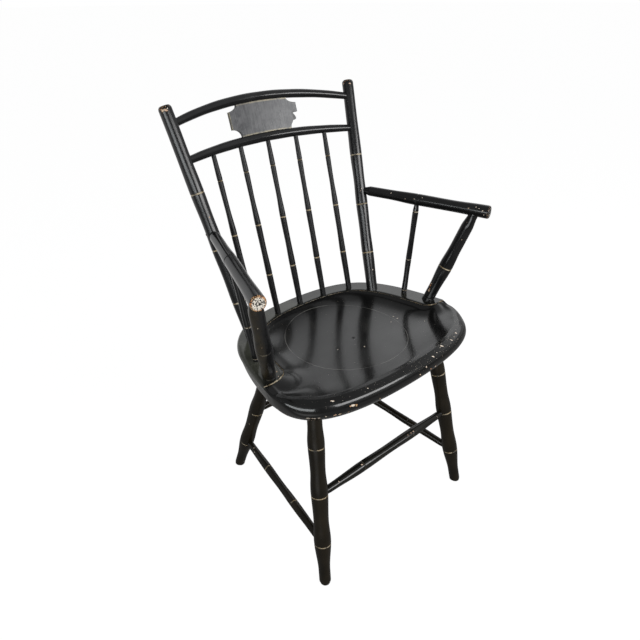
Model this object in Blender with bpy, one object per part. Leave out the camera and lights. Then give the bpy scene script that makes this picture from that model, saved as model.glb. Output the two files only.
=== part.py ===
"""Bamboo-turned Windsor armchair with a bowed rod back, a notched tablet and a saddled plank seat.

Lengths are metres and +Z is up. The chair faces -Y, and left is -X, as seen from the front.
The turned pieces stand in round sockets, and pegs lock the rods and the arms into the back posts.
"""
import math
from dataclasses import dataclass

import bmesh
import bpy
from mathutils import Matrix, Vector

# Fits
CLEARANCE = 0.0003
SOCKET_LIP = 0.009
SCORE_WIDTH = 0.0022
SCORE_DEPTH = 0.0008

# Seat plank
SEAT_HEIGHT = 0.440
SEAT_THICKNESS = 0.049
SEAT_HALF_WIDTH = 0.2487
SEAT_WIDEST_Y = -0.052
SEAT_BACK_Y = 0.1816
SEAT_FRONT_Y = -0.186
SEAT_BACK_FLAT = 0.1785
SEAT_SIDE_TAPER = 0.0302
SEAT_SIDE_RUN = 0.1723
SEAT_FRONT_RUN = 0.0655
SEAT_FRONT_FLAT = 0.2403
SEAT_UNDERCUT = 0.0149
SEAT_LOWER_BULGE_INSET = 0.0070
SEAT_LOWER_BULGE = 0.0073
SEAT_UPPER_BULGE = 0.0090
SEAT_EDGE_ROUND = 0.003
SEAT_SHOULDER_INSET = 0.0009
FRONT_BULGE = 0.0230
FRONT_SHOULDER_INSET = 0.0054
FRONT_SHOULDER_DROP = 0.0072
FRONT_ROLL = 0.018
FRONT_DROP = 0.006
FRONT_DROP_BLEND = 0.1
FRONT_ROLL_START = 0.12
FRONT_ROLL_BLEND = 0.3
DISH_DEPTH = 0.010
DISH_RUN = 0.150
DISH_LIP_RUN = 0.030
DISH_LIP_SHARE = 0.5
DISH_CENTRE_Y = -0.020

# Groove that parts the flat deck from the dish
GROOVE_WIDTH = 0.003
GROOVE_DEPTH = 0.0016
DECK_WIDTH_BACK = 0.0405
DECK_WIDTH_SIDE = 0.0515
GROOVE_TURN = 0.032

# Legs
FRONT_LEG_SIDE_INSET = 0.0773
FRONT_LEG_EDGE_INSET = 0.0971
REAR_LEG_SIDE_INSET = 0.1374
REAR_LEG_EDGE_INSET = 0.0819
FRONT_SPLAY_X = 0.0428
FRONT_SPLAY_Y = -0.0784
REAR_SPLAY_X = 0.0333
REAR_SPLAY_Y = 0.1333
LEG_TENON_LENGTH = 0.031
LEG_TENON_TIP_DIAMETER = 0.021
LEG_TOP_DIAMETER = 0.0285
LEG_UPPER_WAIST = 0.0284
LEG_MIDDLE_WAIST = 0.0298
LEG_LOWER_WAIST = 0.0304
LEG_UPPER_NODE = 0.0330
LEG_MIDDLE_NODE = 0.0342
LEG_LOWER_NODE = 0.0346
LEG_FOOT_DIAMETER = 0.0240
LEG_TOE_DIAMETER = 0.0204
LEG_UPPER_RING_HEIGHT = 0.2999
LEG_MIDDLE_RING_HEIGHT = 0.1982
LEG_LOWER_RING_HEIGHT = 0.0900
LEG_FOOT_HEIGHT = 0.028
LEG_TOE_HEIGHT = 0.005
LEG_NODE_RISE = 0.0085

# Stretchers
FRONT_STRETCHER_HEIGHT = 0.1972
SIDE_STRETCHER_HEIGHT = 0.0912
RIGHT_STRETCHER_REAR_HEIGHT = 0.170
STRETCHER_TENON_STOP = 0.003
STRETCHER_TENON_DIAMETER = 0.0150
FRONT_STRETCHER_NODE = 0.0216
FRONT_STRETCHER_WAIST = 0.0198
SIDE_STRETCHER_NODE = 0.0188
SIDE_STRETCHER_WAIST = 0.0170
LONG_STRETCHER_NODE_OFFSET = 0.118
REAR_STRETCHER_NODE_OFFSET = 0.085
STRETCHER_NECK_OFFSET = 0.026
STRETCHER_NECK_DIAMETER = 0.0162

# Back posts
POST_BASE_Y = 0.0927
POST_EDGE_INSET = 0.0366
POST_LEAN_X = 0.0522
POST_LEAN_Y = 0.1472
POST_HEIGHT = 0.4345
POST_TENON_LENGTH = 0.033
POST_DIAMETER = 0.0244
POST_NODE_DIAMETER = 0.0262
POST_CAP_DIAMETER = 0.0130
POST_CAP_ROUND = 0.007
POST_LOWER_RING = 0.0851
POST_MIDDLE_RING = 0.1946
POST_UPPER_RING = 0.3029

# Rods of the back
UPPER_ROD_DROP = 0.0342
LOWER_ROD_DROP = 0.1006
UPPER_ROD_BOW = 0.0357
LOWER_ROD_BOW = 0.0345
UPPER_ROD_RISE = 0.0204
LOWER_ROD_RISE = 0.0080
UPPER_ROD_DIAMETER = 0.0177
LOWER_ROD_DIAMETER = 0.0185
ROD_END_DIAMETER = 0.0140
ROD_TENON_PAST_AXIS = 0.005

# Tablet between the rods
TABLET_OFFSET = 0.0014
TABLET_BODY_WIDTH = 0.1234
TABLET_EAR_WIDTH = 0.166
TABLET_THICKNESS = 0.006
TABLET_SLOT_DEPTH = 0.003
TABLET_TOP_NOTCH = 0.0090
TABLET_BOTTOM_NOTCH = 0.0165

# Spindles of the back
SPINDLE_COUNT = 5
SPINDLE_SPACING = 0.0656
SPINDLE_TOP_SPACING = 0.0704
SPINDLE_EDGE_INSET = 0.0318
SPINDLE_TENON_LENGTH = 0.024
SPINDLE_TOP_STOP = 0.001
SPINDLE_BASE_DIAMETER = 0.0124
SPINDLE_LOWER_NODE = 0.0136
SPINDLE_LOWER_WAIST = 0.0121
SPINDLE_MIDDLE_NODE = 0.0127
SPINDLE_UPPER_WAIST = 0.0100
SPINDLE_UPPER_NODE = 0.0108
SPINDLE_TOP_DIAMETER = 0.0092
SPINDLE_LOWER_RING = 0.0881
SPINDLE_MIDDLE_RING = 0.1943
SPINDLE_UPPER_RING = 0.3018

# Arms
ARM_HEIGHT = 0.2138
ARM_REACH = 0.2767
ARM_FLARE = 0.0986
ARM_DROP = 0.0069
ARM_TENON_DIAMETER = 0.0130
ARM_TENON_PAST_AXIS = 0.005
ARM_SHOULDER_DIAMETER = 0.0138
ARM_SHOULDER_RUN = 0.016
ARM_REAR_DIAMETER = 0.0212
ARM_NODE_DIAMETER = 0.0248
ARM_FRONT_WAIST = 0.0242
ARM_FRONT_DIAMETER = 0.0275
ARM_TIP_DIAMETER = 0.0225
ARM_TIP_ROUND = 0.005
ARM_RING = 0.1365

# Arm posts and arm spindles
ARM_POST_BASE_Y = -0.0291
ARM_POST_EDGE_INSET = 0.0206
ARM_POST_SETBACK = 0.0287
ARM_POST_SOCKET_DEPTH = 0.027
ARM_POST_DIAMETER = 0.0250
ARM_POST_NODE_DIAMETER = 0.0302
ARM_POST_UPPER_DIAMETER = 0.0260
ARM_POST_NECK_DIAMETER = 0.0200
ARM_POST_TENON_DIAMETER = 0.0150
ARM_POST_TENON_PAST_AXIS = 0.002
ARM_POST_RING = 0.0850
ARM_POST_SWELL = 0.055
ARM_POST_SHRINK = 0.049
ARM_POST_NECK = 0.030
ARM_SPINDLE_BASE_Y = 0.0297
ARM_SPINDLE_EDGE_INSET = 0.0213
ARM_SPINDLE_SETBACK = 0.1576
ARM_SPINDLE_SOCKET_DEPTH = 0.022
ARM_SPINDLE_DIAMETER = 0.0120
ARM_SPINDLE_NODE_DIAMETER = 0.0131
ARM_SPINDLE_TENON_DIAMETER = 0.0104
ARM_SPINDLE_LOWER_RING = 0.0064
ARM_SPINDLE_MIDDLE_RING = 0.0788
ARM_SPINDLE_UPPER_RING = 0.1870

# Pegs
PEG_DIAMETER = 0.005
PEG_DEPTH = 0.0085
PEG_PROUD = 0.0006

# Facets
LEG_SIDES = 14
POST_SIDES = 12
ROD_SIDES = 10
STRETCHER_SIDES = 10
SPINDLE_SIDES = 8
PEG_SIDES = 8
EASE_STEPS = 3
ROUND_STEPS = 3
ROD_STEPS = 22
ROD_SOCKET_STEPS = 4
SEAT_BACK_STEPS = 10
SEAT_TURN_STEPS = 4
SEAT_FRONT_STEPS = 9
DISH_RING_SHARES = (0.94, 0.86, 0.66, 0.35)

# Paints: colour and roughness
PAINTS = {
    "black_paint": ((0.012, 0.012, 0.013), 0.32),
    "brown_black_paint": ((0.017, 0.014, 0.011), 0.42),
    "seat_paint": ((0.030, 0.030, 0.029), 0.30),
    "tablet_paint": ((0.150, 0.150, 0.155), 0.38),
    "peg_paint": ((0.030, 0.022, 0.016), 0.50),
}

SEAT_BOTTOM = SEAT_HEIGHT - SEAT_THICKNESS
SIDE_NAMES = ((-1, "left"), (1, "right"))


@dataclass
class Turning:
    """A straight turned piece: its axis from start to end, and its radius at distances from start."""
    start: Vector
    end: Vector
    stations: list
    sides: int

    def axis(self):
        return (self.end - self.start).normalized()

    def point(self, distance):
        return self.start + self.axis() * distance

    def radius(self, distance):
        return interpolate(self.stations, distance)

    def matrix(self):
        turn = Vector((0, 0, 1)).rotation_difference(self.axis())
        return Matrix.Translation(self.start) @ turn.to_matrix().to_4x4()


def interpolate(stations, distance):
    """The radius at a distance, on straight lines between the stations."""
    for (low, low_radius), (high, high_radius) in zip(stations, stations[1:]):
        if low <= distance <= high:
            return low_radius + (high_radius - low_radius) * (distance - low) / (high - low)
    return stations[0][1] if distance < stations[0][0] else stations[-1][1]


def eased(keys):
    """Stations along keys of distance and diameter, where each key is the crest or hollow of a curve."""
    stations = [(keys[0][0], keys[0][1] / 2)]
    for (low, low_diameter), (high, high_diameter) in zip(keys, keys[1:]):
        for step in range(1, EASE_STEPS + 1):
            share = step / EASE_STEPS
            ease = (1 - math.cos(math.pi * share)) / 2
            diameter = low_diameter + (high_diameter - low_diameter) * ease
            stations.append((low + (high - low) * share, diameter / 2))
    return stations


def scored(stations, rings):
    """The stations with a cut V-shaped line at each ring's distance."""
    half = SCORE_WIDTH / 2
    kept = [item for item in stations if all(abs(item[0] - ring) > SCORE_WIDTH for ring in rings)]
    for ring in rings:
        lip = interpolate(stations, ring)
        kept += [(ring - half, lip), (ring, lip - SCORE_DEPTH), (ring + half, lip)]
    return sorted(kept)


def rounded_end(end, length, diameter, tip_diameter):
    """Stations of a quarter round from a diameter down to a flat tip."""
    stations = []
    for step in range(1, ROUND_STEPS + 1):
        angle = math.pi / 2 * step / ROUND_STEPS
        width = tip_diameter + (diameter - tip_diameter) * math.cos(angle)
        stations.append((end - length * (1 - math.sin(angle)), width / 2))
    return stations


def cut_stations(stations, low, high, grow):
    """The stations between two distances, with the radius grown by a clearance."""
    inner = [(s, r + grow) for s, r in stations if low < s < high]
    first = (low, interpolate(stations, low) + grow)
    last = (high, interpolate(stations, high) + grow)
    return [first] + inner + [last]


def loft(bm, rings):
    """Closed skin over rings of equally many points, with flat ends."""
    rows = [[bm.verts.new(point) for point in ring] for ring in rings]
    count = len(rows[0])
    for low, high in zip(rows, rows[1:]):
        for index in range(count):
            after = (index + 1) % count
            bm.faces.new((low[index], low[after], high[after], high[index]))
    bm.faces.new(list(reversed(rows[0])))
    bm.faces.new(rows[-1])
    return rows


def circle(radius, sides):
    """Points of a circle in the XY plane."""
    steps = [2 * math.pi * index / sides for index in range(sides)]
    return [Vector((radius * math.cos(angle), radius * math.sin(angle), 0)) for angle in steps]


def turned_rings(stations, sides):
    """Rings of a turned piece along local +Z."""
    return [[point + Vector((0, 0, s)) for point in circle(radius, sides)] for s, radius in stations]


def tube_rings(path, radii, sides):
    """Rings of a bent round rod along a path that is never upright."""
    rings = []
    before = path[:1] + path
    after = path[1:] + path[-1:]
    for centre, last, following, radius in zip(path, before, after, radii):
        tangent = (following - last).normalized()
        across = tangent.cross(Vector((0, 0, 1))).normalized()
        upward = across.cross(tangent)
        rings.append([centre + across * p.x + upward * p.y for p in circle(radius, sides)])
    return rings


def finish_mesh(bm, name):
    """A smooth-shaded mesh with its faces pointing out."""
    bmesh.ops.recalc_face_normals(bm, faces=bm.faces[:])
    mesh = bpy.data.meshes.new(name)
    bm.to_mesh(mesh)
    bm.free()
    mesh.shade_smooth()
    mesh.set_sharp_from_angle(angle=math.radians(40))
    return mesh


def add_object(name, mesh, chair, matrix=Matrix.Identity(4), material=None):
    """An object on the chair's empty, placed by its own location and rotation."""
    item = bpy.data.objects.new(name, mesh)
    bpy.context.scene.collection.objects.link(item)
    item.parent = chair
    item.matrix_local = matrix
    if material:
        mesh.materials.append(material)
    return item


def add_turning(name, piece, chair, material, floor_trim=False):
    """A turned piece, whose far end may be trimmed level with the floor."""
    rings = turned_rings(piece.stations, piece.sides)
    placed = piece.matrix()
    if floor_trim:
        up = placed.to_3x3().transposed() @ Vector((0, 0, 1))
        for point in rings[-1]:
            point.z = -(piece.start.z + up.x * point.x + up.y * point.y) / up.z
    bm = bmesh.new()
    loft(bm, rings)
    return add_object(name, finish_mesh(bm, name), chair, placed, material)


def turned_cutter(piece, low, high):
    """Rings of a socket for a turned piece between two distances, in the chair's frame."""
    stations = cut_stations(piece.stations, low, high, CLEARANCE)
    placed = piece.matrix()
    return [[placed @ point for point in ring] for ring in turned_rings(stations, piece.sides)]


def add_helper(name, shells, chair):
    """A hidden solid of one or more closed shells that shapes other pieces."""
    bm = bmesh.new()
    for rings in shells:
        loft(bm, rings)
    helper = add_object(name, finish_mesh(bm, name), chair)
    helper.hide_render = True
    helper.display_type = 'WIRE'
    return helper


def combine(target, helper, operation='DIFFERENCE'):
    """Cut a helper from a piece, or join it to the piece."""
    modifier = target.modifiers.new(helper.name, 'BOOLEAN')
    modifier.operation = operation
    modifier.solver = 'EXACT'
    modifier.object = helper


def make_material(name, colour, roughness):
    """A painted wood surface."""
    material = bpy.data.materials.new(name)
    material.use_nodes = True
    shader = material.node_tree.nodes["Principled BSDF"]
    shader.inputs["Base Color"].default_value = (*colour, 1)
    shader.inputs["Roughness"].default_value = roughness
    shader.inputs["Metallic"].default_value = 0
    return material


def mirrored(point, side):
    """A point of the right half, or its mirror on the left half."""
    return Vector((side * point.x, point.y, point.z))


# Seat outline
def bezier(points, t):
    """A point on a cubic curve with four control points."""
    a, b, c, d = points
    u = 1 - t
    return a * u ** 3 + b * (3 * u * u * t) + c * (3 * u * t * t) + d * t ** 3


def seat_edge(t):
    """The outline's right half: 0 at the back's middle, 1 at the widest point, 2 at the front's middle."""
    widest = Vector((SEAT_HALF_WIDTH, SEAT_WIDEST_Y))
    if t <= 1:
        back = Vector((0, SEAT_BACK_Y))
        side = Vector((SEAT_HALF_WIDTH - SEAT_SIDE_TAPER, SEAT_WIDEST_Y + SEAT_SIDE_RUN))
        return bezier((back, back + Vector((SEAT_BACK_FLAT, 0)), side, widest), t)
    front = Vector((0, SEAT_FRONT_Y))
    side = widest - Vector((0, SEAT_FRONT_RUN))
    return bezier((widest, side, front + Vector((SEAT_FRONT_FLAT, 0)), front), t - 1)


def seat_inward(t):
    """The unit direction from the outline into the seat."""
    step = 0.001
    along = seat_edge(min(t + step, 2)) - seat_edge(max(t - step, 0))
    return Vector((along.y, -along.x)).normalized()


def edge_position(value, axis):
    """Where the outline's rear curve has the given x or y, found by halving."""
    low, high = 0.0, 1.0
    rising = seat_edge(high)[axis] > seat_edge(low)[axis]
    for _ in range(40):
        middle = (low + high) / 2
        if (seat_edge(middle)[axis] < value) == rising:
            low = middle
        else:
            high = middle
    return low


def deck_from_side(y, inset):
    """A point of the deck at a given y, an inset from the side edge."""
    edge = seat_edge(edge_position(y, 1))
    return Vector((edge.x - inset, y, SEAT_HEIGHT))


def deck_from_back(x, inset):
    """A point of the deck at a given x, an inset from the back edge."""
    edge = seat_edge(edge_position(abs(x), 0))
    return Vector((x, edge.y - inset, SEAT_HEIGHT))


def seat_samples():
    """Outline parameters, closest together where the groove turns out to the edge."""
    turn_start = edge_position(SEAT_WIDEST_Y + GROOVE_TURN, 1)
    samples = [turn_start * index / SEAT_BACK_STEPS for index in range(SEAT_BACK_STEPS + 1)]
    for index in range(1, SEAT_TURN_STEPS):
        angle = math.pi / 2 * index / SEAT_TURN_STEPS
        samples.append(edge_position(SEAT_WIDEST_Y + GROOVE_TURN * (1 - math.sin(angle)), 1))
    return samples + [1 + index / SEAT_FRONT_STEPS for index in range(SEAT_FRONT_STEPS + 1)]


def smooth_step(value):
    """An eased share from 0 to 1."""
    share = min(max(value, 0), 1)
    return share * share * (3 - 2 * share)


def seat_column(t):
    """One slice of the seat's skin at an outline parameter, from the underside to the lip of the dish."""
    edge = seat_edge(t)
    inward = seat_inward(t)
    roll = smooth_step((t - 1 - FRONT_ROLL_START) / FRONT_ROLL_BLEND)

    def blend(side, front):
        return side + (front - side) * roll

    level = SEAT_HEIGHT - FRONT_DROP * smooth_step((t - 1) / FRONT_DROP_BLEND)
    rim = blend(SEAT_EDGE_ROUND, FRONT_ROLL)
    groove = rim + 2 * GROOVE_WIDTH
    if t < 1:
        turn = (SEAT_WIDEST_Y + GROOVE_TURN - edge.y) / GROOVE_TURN
        width = DECK_WIDTH_BACK + (DECK_WIDTH_SIDE - DECK_WIDTH_BACK) * smooth_step(t)
        groove = max(groove, width * math.sqrt(1 - min(max(turn, 0), 1) ** 2))
    depth = GROOVE_DEPTH * (1 - roll)
    half = GROOVE_WIDTH / 2
    shoulder_drop = blend(SEAT_EDGE_ROUND, FRONT_SHOULDER_DROP)
    slice_points = [
        (SEAT_UNDERCUT, SEAT_BOTTOM),
        (SEAT_LOWER_BULGE_INSET, SEAT_BOTTOM + SEAT_LOWER_BULGE),
        (0, level - blend(SEAT_UPPER_BULGE, FRONT_BULGE)),
        (blend(SEAT_SHOULDER_INSET, FRONT_SHOULDER_INSET), level - shoulder_drop),
        (rim, level),
        (groove - half, level),
        (groove, level - depth),
        (groove + half, level),
    ]
    return [Vector((*(edge + inward * inset), z)) for inset, z in slice_points]


def nearest_on_loop(point, loop):
    """The point of a closed loop that is nearest to a point, as seen from above."""
    found = []
    for first, second in zip(loop, loop[1:] + loop[:1]):
        along = (second - first).to_2d()
        share = (point - first).to_2d().dot(along) / along.length_squared
        near = first + (second - first) * min(max(share, 0), 1)
        found.append(((point - near).to_2d().length, near))
    return min(found, key=lambda item: item[0])


def dish_ring(lips, share):
    """A ring inside the dish, which falls fast within a short lip and then levels out towards the middle."""
    middle = Vector((0, DISH_CENTRE_Y, SEAT_HEIGHT - DISH_DEPTH))
    ring = []
    for lip in lips:
        point = middle + (lip - middle) * share
        gap, near = nearest_on_loop(point, lips)
        lip_rest = max(1 - gap / DISH_LIP_RUN, 0) ** 2
        bowl_rest = max(1 - gap / DISH_RUN, 0) ** 2
        rest = DISH_LIP_SHARE * lip_rest + (1 - DISH_LIP_SHARE) * bowl_rest
        point.z = middle.z + (near.z - middle.z) * rest
        ring.append(point)
    return ring


def seat_rings():
    """Rings of the seat's skin, from the underside to the innermost ring of the dish."""
    right = [seat_column(t) for t in seat_samples()]
    left = [[mirrored(point, -1) for point in column] for column in reversed(right[1:-1])]
    rings = [list(ring) for ring in zip(*(right + left))]
    lips = rings[-1]
    return rings + [dish_ring(lips, share) for share in DISH_RING_SHARES]


# Pieces, each as its axis and profile
def leg_turning(socket, splay_x, splay_y):
    """A leg from its seat socket down to the floor."""
    foot = Vector((socket.x + splay_x * math.copysign(1, socket.x), socket.y + splay_y, 0))
    slant = (foot - socket).length / socket.z

    def at(height):
        return (socket.z - height) * slant

    upper_waist = (socket.z + LEG_UPPER_RING_HEIGHT) / 2
    middle_waist = (LEG_UPPER_RING_HEIGHT + LEG_MIDDLE_RING_HEIGHT) / 2
    lower_waist = (LEG_MIDDLE_RING_HEIGHT + LEG_LOWER_RING_HEIGHT) / 2
    keys = [
        (at(upper_waist), LEG_UPPER_WAIST),
        (at(LEG_UPPER_RING_HEIGHT + LEG_NODE_RISE), LEG_UPPER_NODE),
        (at(middle_waist), LEG_MIDDLE_WAIST),
        (at(LEG_MIDDLE_RING_HEIGHT + LEG_NODE_RISE), LEG_MIDDLE_NODE),
        (at(lower_waist), LEG_LOWER_WAIST),
        (at(LEG_LOWER_RING_HEIGHT + LEG_NODE_RISE), LEG_LOWER_NODE),
        (at(LEG_FOOT_HEIGHT), LEG_FOOT_DIAMETER),
    ]
    rings = [at(h) for h in (LEG_UPPER_RING_HEIGHT, LEG_MIDDLE_RING_HEIGHT, LEG_LOWER_RING_HEIGHT)]
    tenon = [(-LEG_TENON_LENGTH, LEG_TENON_TIP_DIAMETER / 2), (0, LEG_TOP_DIAMETER / 2)]
    toe = [(at(LEG_TOE_HEIGHT), LEG_FOOT_DIAMETER / 2), (at(0), LEG_TOE_DIAMETER / 2)]
    return Turning(socket, foot, tenon + scored(eased(keys), rings) + toe, LEG_SIDES)


def point_at_height(leg, height):
    """The point of a leg's axis at a height above the floor."""
    share = (leg.start.z - height) / (leg.start.z - leg.end.z)
    return leg.start + (leg.end - leg.start) * share


def stretcher_turning(first_leg, second_leg, heights, node, waist, node_offset):
    """A stretcher between two legs, at a height on each, with two nodes."""
    start = point_at_height(first_leg, heights[0])
    end = point_at_height(second_leg, heights[1])
    length = (end - start).length
    keys = [
        (STRETCHER_NECK_OFFSET, STRETCHER_NECK_DIAMETER),
        (node_offset, node),
        (length / 2, waist),
        (length - node_offset, node),
        (length - STRETCHER_NECK_OFFSET, STRETCHER_NECK_DIAMETER),
    ]
    body = scored(eased(keys), [node_offset, length - node_offset])
    tip = STRETCHER_TENON_DIAMETER / 2
    leg_radius = LEG_MIDDLE_NODE / 2
    first = [(STRETCHER_TENON_STOP, tip), (leg_radius, tip)]
    last = [(length - leg_radius, tip), (length - STRETCHER_TENON_STOP, tip)]
    return Turning(start, end, first + body + last, STRETCHER_SIDES)


def post_turning(side):
    """A back post from the deck to its rounded top."""
    base = deck_from_side(POST_BASE_Y, POST_EDGE_INSET)
    top = base + Vector((POST_LEAN_X, POST_LEAN_Y, POST_HEIGHT))
    length = (top - base).length
    rings = [POST_LOWER_RING, POST_MIDDLE_RING, POST_UPPER_RING]
    keys = [(-POST_TENON_LENGTH, POST_DIAMETER), (0, POST_DIAMETER)]
    for ring, following in zip(rings, rings[1:] + [length]):
        keys += [(ring, POST_NODE_DIAMETER), ((ring + following) / 2, POST_DIAMETER)]
    cap = [(length - POST_CAP_ROUND, POST_DIAMETER / 2)]
    cap += rounded_end(length, POST_CAP_ROUND, POST_DIAMETER, POST_CAP_DIAMETER)
    stations = scored(eased(keys), rings) + cap
    return Turning(mirrored(base, side), mirrored(top, side), stations, POST_SIDES)


def rod_path(left_end, right_end, bow, rise, steps, low=0.0, high=1.0):
    """Points of a bowed rod between two shares of the way from the left post's axis to the right one's."""
    path = []
    for step in range(steps + 1):
        share = low + (high - low) * step / steps
        arch = 4 * share * (1 - share)
        path.append(left_end + (right_end - left_end) * share + Vector((0, bow * arch, rise * arch)))
    return path


def rod_radii(diameter, steps, low=0.0, high=1.0):
    """Radii of a rod that thins from its middle to its ends."""
    radii = []
    for step in range(steps + 1):
        share = low + (high - low) * step / steps
        arch = max(4 * share * (1 - share), 0)
        radii.append((ROD_END_DIAMETER + (diameter - ROD_END_DIAMETER) * arch) / 2)
    return radii


@dataclass
class Rod:
    """A bowed rod between the two back posts."""
    left_end: Vector
    right_end: Vector
    bow: float
    rise: float
    diameter: float

    def past(self, extra):
        """The share of the rod's chord that reaches an extra length past a post's axis."""
        return extra / (self.right_end - self.left_end).length

    def rings(self, low, high, steps, grow=0.0):
        path = rod_path(self.left_end, self.right_end, self.bow, self.rise, steps, low, high)
        radii = [radius + grow for radius in rod_radii(self.diameter, steps, low, high)]
        return tube_rings(path, radii, ROD_SIDES)

    def at_x(self, x):
        share = (x - self.left_end.x) / (self.right_end.x - self.left_end.x)
        return rod_path(self.left_end, self.right_end, self.bow, self.rise, 1, share, share)[0]

    def end_direction(self, side):
        """The direction in which the rod runs into a post."""
        arch_slope = 4 * Vector((0, self.bow, self.rise))
        chord = self.right_end - self.left_end
        return (chord * side + arch_slope * -1).normalized()


def make_rod(posts, drop, bow, rise, diameter):
    """A rod at a drop below the post tops."""
    length = (posts[1].end - posts[1].start).length
    return Rod(posts[-1].point(length - drop), posts[1].point(length - drop), bow, rise, diameter)


def spindle_turning(index, lower_rod):
    """A back spindle from the deck into the lower rod."""
    place = index - (SPINDLE_COUNT - 1) / 2
    base = deck_from_back(place * SPINDLE_SPACING, SPINDLE_EDGE_INSET)
    top = lower_rod.at_x(place * SPINDLE_TOP_SPACING)
    length = (top - base).length
    rings = [SPINDLE_LOWER_RING, SPINDLE_MIDDLE_RING, SPINDLE_UPPER_RING]
    keys = [
        (-SPINDLE_TENON_LENGTH, SPINDLE_BASE_DIAMETER),
        (0, SPINDLE_BASE_DIAMETER),
        (rings[0], SPINDLE_LOWER_NODE),
        ((rings[0] + rings[1]) / 2, SPINDLE_LOWER_WAIST),
        (rings[1], SPINDLE_MIDDLE_NODE),
        ((rings[1] + rings[2]) / 2, SPINDLE_UPPER_WAIST),
        (rings[2], SPINDLE_UPPER_NODE),
        (length - lower_rod.diameter / 2, SPINDLE_TOP_DIAMETER),
        (length + SPINDLE_TOP_STOP, SPINDLE_TOP_DIAMETER),
    ]
    return Turning(base, top, scored(eased(keys), rings), SPINDLE_SIDES)


def arm_turning(post, side):
    """An arm from a back post's axis to its rounded front end."""
    length = (post.end - post.start).length
    start = post.point(ARM_HEIGHT * length / POST_HEIGHT)
    end = start + Vector((side * ARM_FLARE, -ARM_REACH, -ARM_DROP))
    reach = (end - start).length
    keys = [
        (0, ARM_SHOULDER_DIAMETER),
        (POST_DIAMETER / 2, ARM_SHOULDER_DIAMETER),
        (POST_DIAMETER / 2 + ARM_SHOULDER_RUN, ARM_REAR_DIAMETER),
        (ARM_RING / 2, ARM_REAR_DIAMETER),
        (ARM_RING, ARM_NODE_DIAMETER),
        ((ARM_RING + reach) / 2, ARM_FRONT_WAIST),
        (reach - ARM_TIP_ROUND, ARM_FRONT_DIAMETER),
    ]
    tip = rounded_end(reach, ARM_TIP_ROUND, ARM_FRONT_DIAMETER, ARM_TIP_DIAMETER)
    return Turning(start, end, scored(eased(keys), [ARM_RING]) + tip, POST_SIDES)


def arm_post_turning(arm, side):
    """A raked arm post from the deck into the underside of the arm."""
    base = mirrored(deck_from_side(ARM_POST_BASE_Y, ARM_POST_EDGE_INSET), side)
    reach = (arm.end - arm.start).length
    top = arm.point(reach - ARM_POST_SETBACK)
    length = (top - base).length
    arm_face = length - arm.radius(reach - ARM_POST_SETBACK)
    keys = [
        (-ARM_POST_SOCKET_DEPTH, ARM_POST_DIAMETER),
        (0, ARM_POST_DIAMETER),
        (ARM_POST_RING - ARM_POST_SWELL, ARM_POST_DIAMETER),
        (ARM_POST_RING, ARM_POST_NODE_DIAMETER),
        (ARM_POST_RING + ARM_POST_SHRINK, ARM_POST_UPPER_DIAMETER),
        (arm_face - ARM_POST_NECK, ARM_POST_UPPER_DIAMETER),
        (arm_face, ARM_POST_NECK_DIAMETER),
    ]
    tenon = [(arm_face + CLEARANCE, ARM_POST_TENON_DIAMETER / 2)]
    tenon.append((length + ARM_POST_TENON_PAST_AXIS, ARM_POST_TENON_DIAMETER / 2))
    return Turning(base, top, scored(eased(keys), [ARM_POST_RING]) + tenon, POST_SIDES)


def arm_spindle_turning(arm, side):
    """A short spindle from the deck into the underside of the arm."""
    base = mirrored(deck_from_side(ARM_SPINDLE_BASE_Y, ARM_SPINDLE_EDGE_INSET), side)
    reach = (arm.end - arm.start).length
    top = arm.point(reach - ARM_SPINDLE_SETBACK)
    length = (top - base).length
    rings = [ARM_SPINDLE_LOWER_RING, ARM_SPINDLE_MIDDLE_RING, ARM_SPINDLE_UPPER_RING]
    keys = [
        (-ARM_SPINDLE_SOCKET_DEPTH, ARM_SPINDLE_DIAMETER),
        (0, ARM_SPINDLE_DIAMETER),
        (rings[0], ARM_SPINDLE_NODE_DIAMETER),
        ((rings[0] + rings[1]) / 2, ARM_SPINDLE_DIAMETER),
        (rings[1], ARM_SPINDLE_NODE_DIAMETER),
        ((rings[1] + rings[2]) / 2, ARM_SPINDLE_DIAMETER),
        (rings[2], ARM_SPINDLE_NODE_DIAMETER),
        (length - arm.radius(reach - ARM_SPINDLE_SETBACK), ARM_SPINDLE_TENON_DIAMETER),
        (length, ARM_SPINDLE_TENON_DIAMETER),
    ]
    return Turning(base, top, scored(eased(keys), rings), SPINDLE_SIDES)


def peg_turning(post, joint, entering):
    """A peg driven through a post, across the tenon that enters it at a joint point."""
    across = post.axis().cross(entering).normalized()
    if across.y < 0:
        across = -across
    length = (joint - post.start).length
    outer = post.radius(length) + PEG_PROUD
    radius = PEG_DIAMETER / 2
    stations = [(-PEG_DEPTH, radius), (outer, radius)]
    return Turning(joint, joint + across, stations, PEG_SIDES)


def peg_cutter(peg):
    """Rings of a peg's hole, closed at its deep end and run out past the post."""
    return turned_cutter(peg, -PEG_DEPTH - CLEARANCE, peg.stations[-1][0] + SOCKET_LIP)


# Tablet
def tablet_outline(grow):
    """Columns of the tablet: x, and how far the bottom and the top stop short of the rods' faces."""
    body = TABLET_BODY_WIDTH / 2 + grow
    ear = TABLET_EAR_WIDTH / 2 + grow
    deep = -TABLET_SLOT_DEPTH - grow
    columns = [(body * share, deep, deep) for share in (0, 0.25, 0.5, 0.75, 1)]
    for angle in (25, 50, 70, 90):
        turn = math.radians(angle)
        x = ear - (ear - body) * math.cos(turn)
        fall = math.sin(turn)
        columns.append((x, TABLET_BOTTOM_NOTCH * fall - grow, TABLET_TOP_NOTCH * fall - grow))
    left = [(-x, low, high) for x, low, high in reversed(columns[1:])]
    return [(x + TABLET_OFFSET, low, high) for x, low, high in left + columns]


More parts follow.
